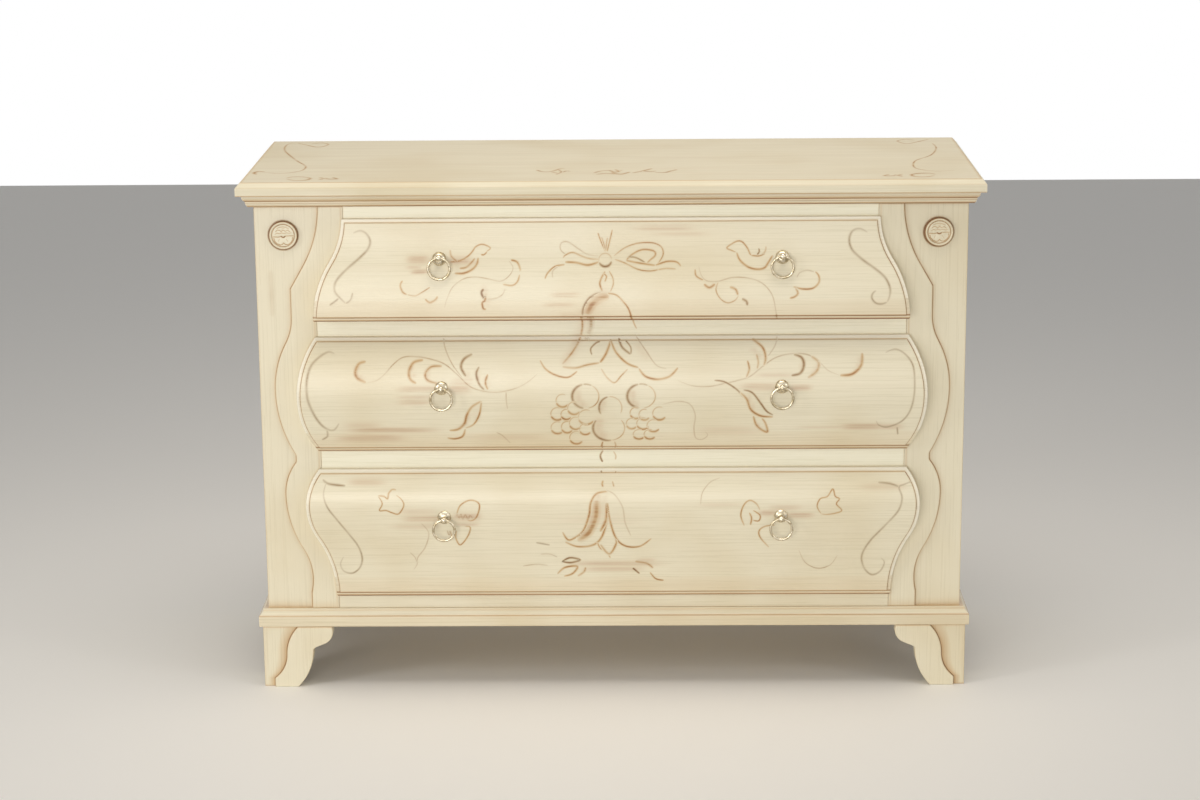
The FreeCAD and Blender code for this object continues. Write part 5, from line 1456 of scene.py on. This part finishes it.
for half_width, pigment, *points in FRONT_STROKES:
    draw_on_fronts(points, half_width, pigment)
for kind, fruits in FRUIT.items():
    for x, z, rx, rz in fruits:
        for start, end, half_width, pigment, strength in FRUIT_ARCS[kind]:
            turns = [math.radians(start + (end - start) * i / 12) for i in range(13)]
            arc = [(x + rx * math.cos(turn), z + rz * math.sin(turn)) for turn in turns]
            draw_on_fronts(arc, half_width, pigment, strength)
for drawer, sheaf in front_sheaves.items():
    body = f"{drawer}_drawer"
    sheaf.lay(f"ornament_on_{body}", drawer_fronts[drawer], BACKWARD, LIFT_ON_FRONTS, body, ink_across)
for rail, sheaf in rail_sheaves.items():
    if sheaf.points:
        flat_rail = bpy.data.objects[f"flat_{rail}"]
        sheaf.lay(f"ornament_on_{rail}", flat_rail, BACKWARD, LIFT_ON_FRONTS, "case", ink_rails_painted_light)
top_sheaf = Sheaf()
for half_width, pigment, *points in TOP_STROKES:
    line = through(points)
    spots = [(Vector((x * MM, y * MM, OVERHEAD)), i / (len(line) - 1)) for i, (x, y) in enumerate(line)]
    top_sheaf.stroke(spots, half_width, pigment)
top_sheaf.lay("ornament_on_top_board", top_board, DOWNWARD, LIFT_ON_CASE, "case", ink_top)

# A ring of glaze and painted shadow on the stile round each rosette, a little low and to the left of it
RING_OUT = 0.0002
PAINTED_SHADOW_SHIFT = 0.0006
for side_name, side in SIDES.items():
    low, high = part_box(f"rosette_{side_name}")
    middle, radius = (low + high) / 2, (high.x - low.x) / 2 + RING_OUT
    left, down = middle.x - PAINTED_SHADOW_SHIFT, middle.z - PAINTED_SHADOW_SHIFT
    turns = [math.pi * i / 24 for i in range(49)]
    ring = [(left + radius * math.cos(turn), down + radius * math.sin(turn)) for turn in turns]
    sheaf = Sheaf()
    sheaf.stroke([(Vector((x, IN_FRONT, z)), 0.5) for x, z in ring], 1.3, "umber", 1.6)
    if side < 0:
        # A pale smudge lies below the left rosette only
        smudge = [(Vector((-0.561, IN_FRONT, 0.722 - 0.004 * i)), i / 20) for i in range(21)]
        sheaf.stroke(smudge, 4.5, "pencil", 0.45)
    stile = bpy.data.objects[f"flat_stile_{side_name}"]
    sheaf.lay(f"glaze_round_rosette_{side_name}", stile, BACKWARD, LIFT_ON_CASE, "case", ink_upright)


# The stage: a pale floor, a white surround, and four soft boxes in front, at both sides and overhead.
# Grids on the boxes keep their light together, so that it falls on the piece and not on the surround.

FLOOR_COLOUR = "#F4F3F1"
floor_mesh = bpy.data.meshes.new("floor")
floor_mesh.from_pydata([(-6, -6, 0), (6, -6, 0), (6, 5, 0), (-6, 5, 0)], [], [(0, 1, 2, 3)])
floor = place_piece("floor", floor_mesh)
floor_material = bpy.data.materials.new("pale_floor")
floor_material.use_nodes = True
floor_shader = floor_material.node_tree.nodes["Principled BSDF"]
floor_shader.inputs["Base Color"].default_value = colour(FLOOR_COLOUR)
floor_shader.inputs["Roughness"].default_value = 0.7
floor_mesh.materials.append(floor_material)

# The surround looks white, but gives less light than it seems to
ROOM_TINT = "#FBF9F5"
ROOM_LIGHT = 0.31
world = bpy.data.worlds.new("soft_room")
world.use_nodes = True
bpy.context.scene.world = world
tree = world.node_tree
tree.nodes.clear()
rays = add(tree, "ShaderNodeLightPath").outputs
seen = reckon(tree, "MAXIMUM", rays["Is Camera Ray"], rays["Is Glossy Ray"])
seen = reckon(tree, "MAXIMUM", seen, rays["Is Transmission Ray"])
dim = add(tree, "ShaderNodeBackground", {"Color": colour(ROOM_TINT), "Strength": ROOM_LIGHT})
white = add(tree, "ShaderNodeBackground", {"Color": (1, 1, 1, 1), "Strength": 1.0})
mixed = add(tree, "ShaderNodeMixShader", {0: seen, 1: dim.outputs[0], 2: white.outputs[0]})
add(tree, "ShaderNodeOutputWorld", {"Surface": mixed.outputs[0]})

GRID_SPREAD = math.radians(100)


def softbox(name, spot, aim, width, height, watts, tint):
    """A broad lamp with a grid, which the camera doesn't see."""
    light = bpy.data.lights.new(name, "AREA")
    light.shape = "RECTANGLE"
    light.size, light.size_y = width, height
    light.energy = watts
    light.spread = GRID_SPREAD
    light.color = colour(tint)[:3]
    lamp = bpy.data.objects.new(name, light)
    lamp.location = spot
    lamp.rotation_euler = (Vector(aim) - Vector(spot)).to_track_quat("-Z", "Y").to_euler()
    lamp.visible_camera = False
    bpy.context.scene.collection.objects.link(lamp)


softbox("front_softbox", (-1.0, -4.4, 0.8), (0, -0.2, 0.45), 2.8, 1.4, 20.5, "#FFFAF2")
softbox("left_softbox", (-3.0, -2.0, 1.7), (0, -0.1, 0.45), 0.7, 1.5, 6.2, "#FFFBF4")
softbox("right_softbox", (3.0, -2.0, 1.7), (0, -0.1, 0.45), 0.7, 1.5, 3.2, "#FFFBF4")
softbox("overhead_softbox", (0.1, -0.5, 3.2), (0, 0, 0.4), 2.4, 1.4, 13, "#FFF6E9")

# Camera: the photograph's own view, from a little right of the middle and above the top board
CAMERA_SPOT = (0.05046, -4.70688, 1.618)
LENS_MM = 83.9046
PITCH, YAW, ROLL = math.radians(13.913), math.radians(-0.890), math.radians(-0.480)
ahead = Vector((math.sin(YAW) * math.cos(PITCH), math.cos(YAW) * math.cos(PITCH), -math.sin(PITCH)))
level = Vector((math.cos(YAW), -math.sin(YAW), 0))
upward = level.cross(ahead)
right_of = math.cos(ROLL) * level + math.sin(ROLL) * upward
top_of = math.cos(ROLL) * upward - math.sin(ROLL) * level
lens = bpy.data.cameras.new("camera")
lens.lens = LENS_MM
lens.sensor_width = 36
camera = bpy.data.objects.new("camera", lens)
turned = Matrix((right_of, top_of, -ahead)).transposed()
camera.matrix_world = Matrix.Translation(CAMERA_SPOT) @ turned.to_4x4()
bpy.context.scene.collection.objects.link(camera)
bpy.context.scene.camera = camera
bpy.context.scene.view_settings.view_transform = "Standard"
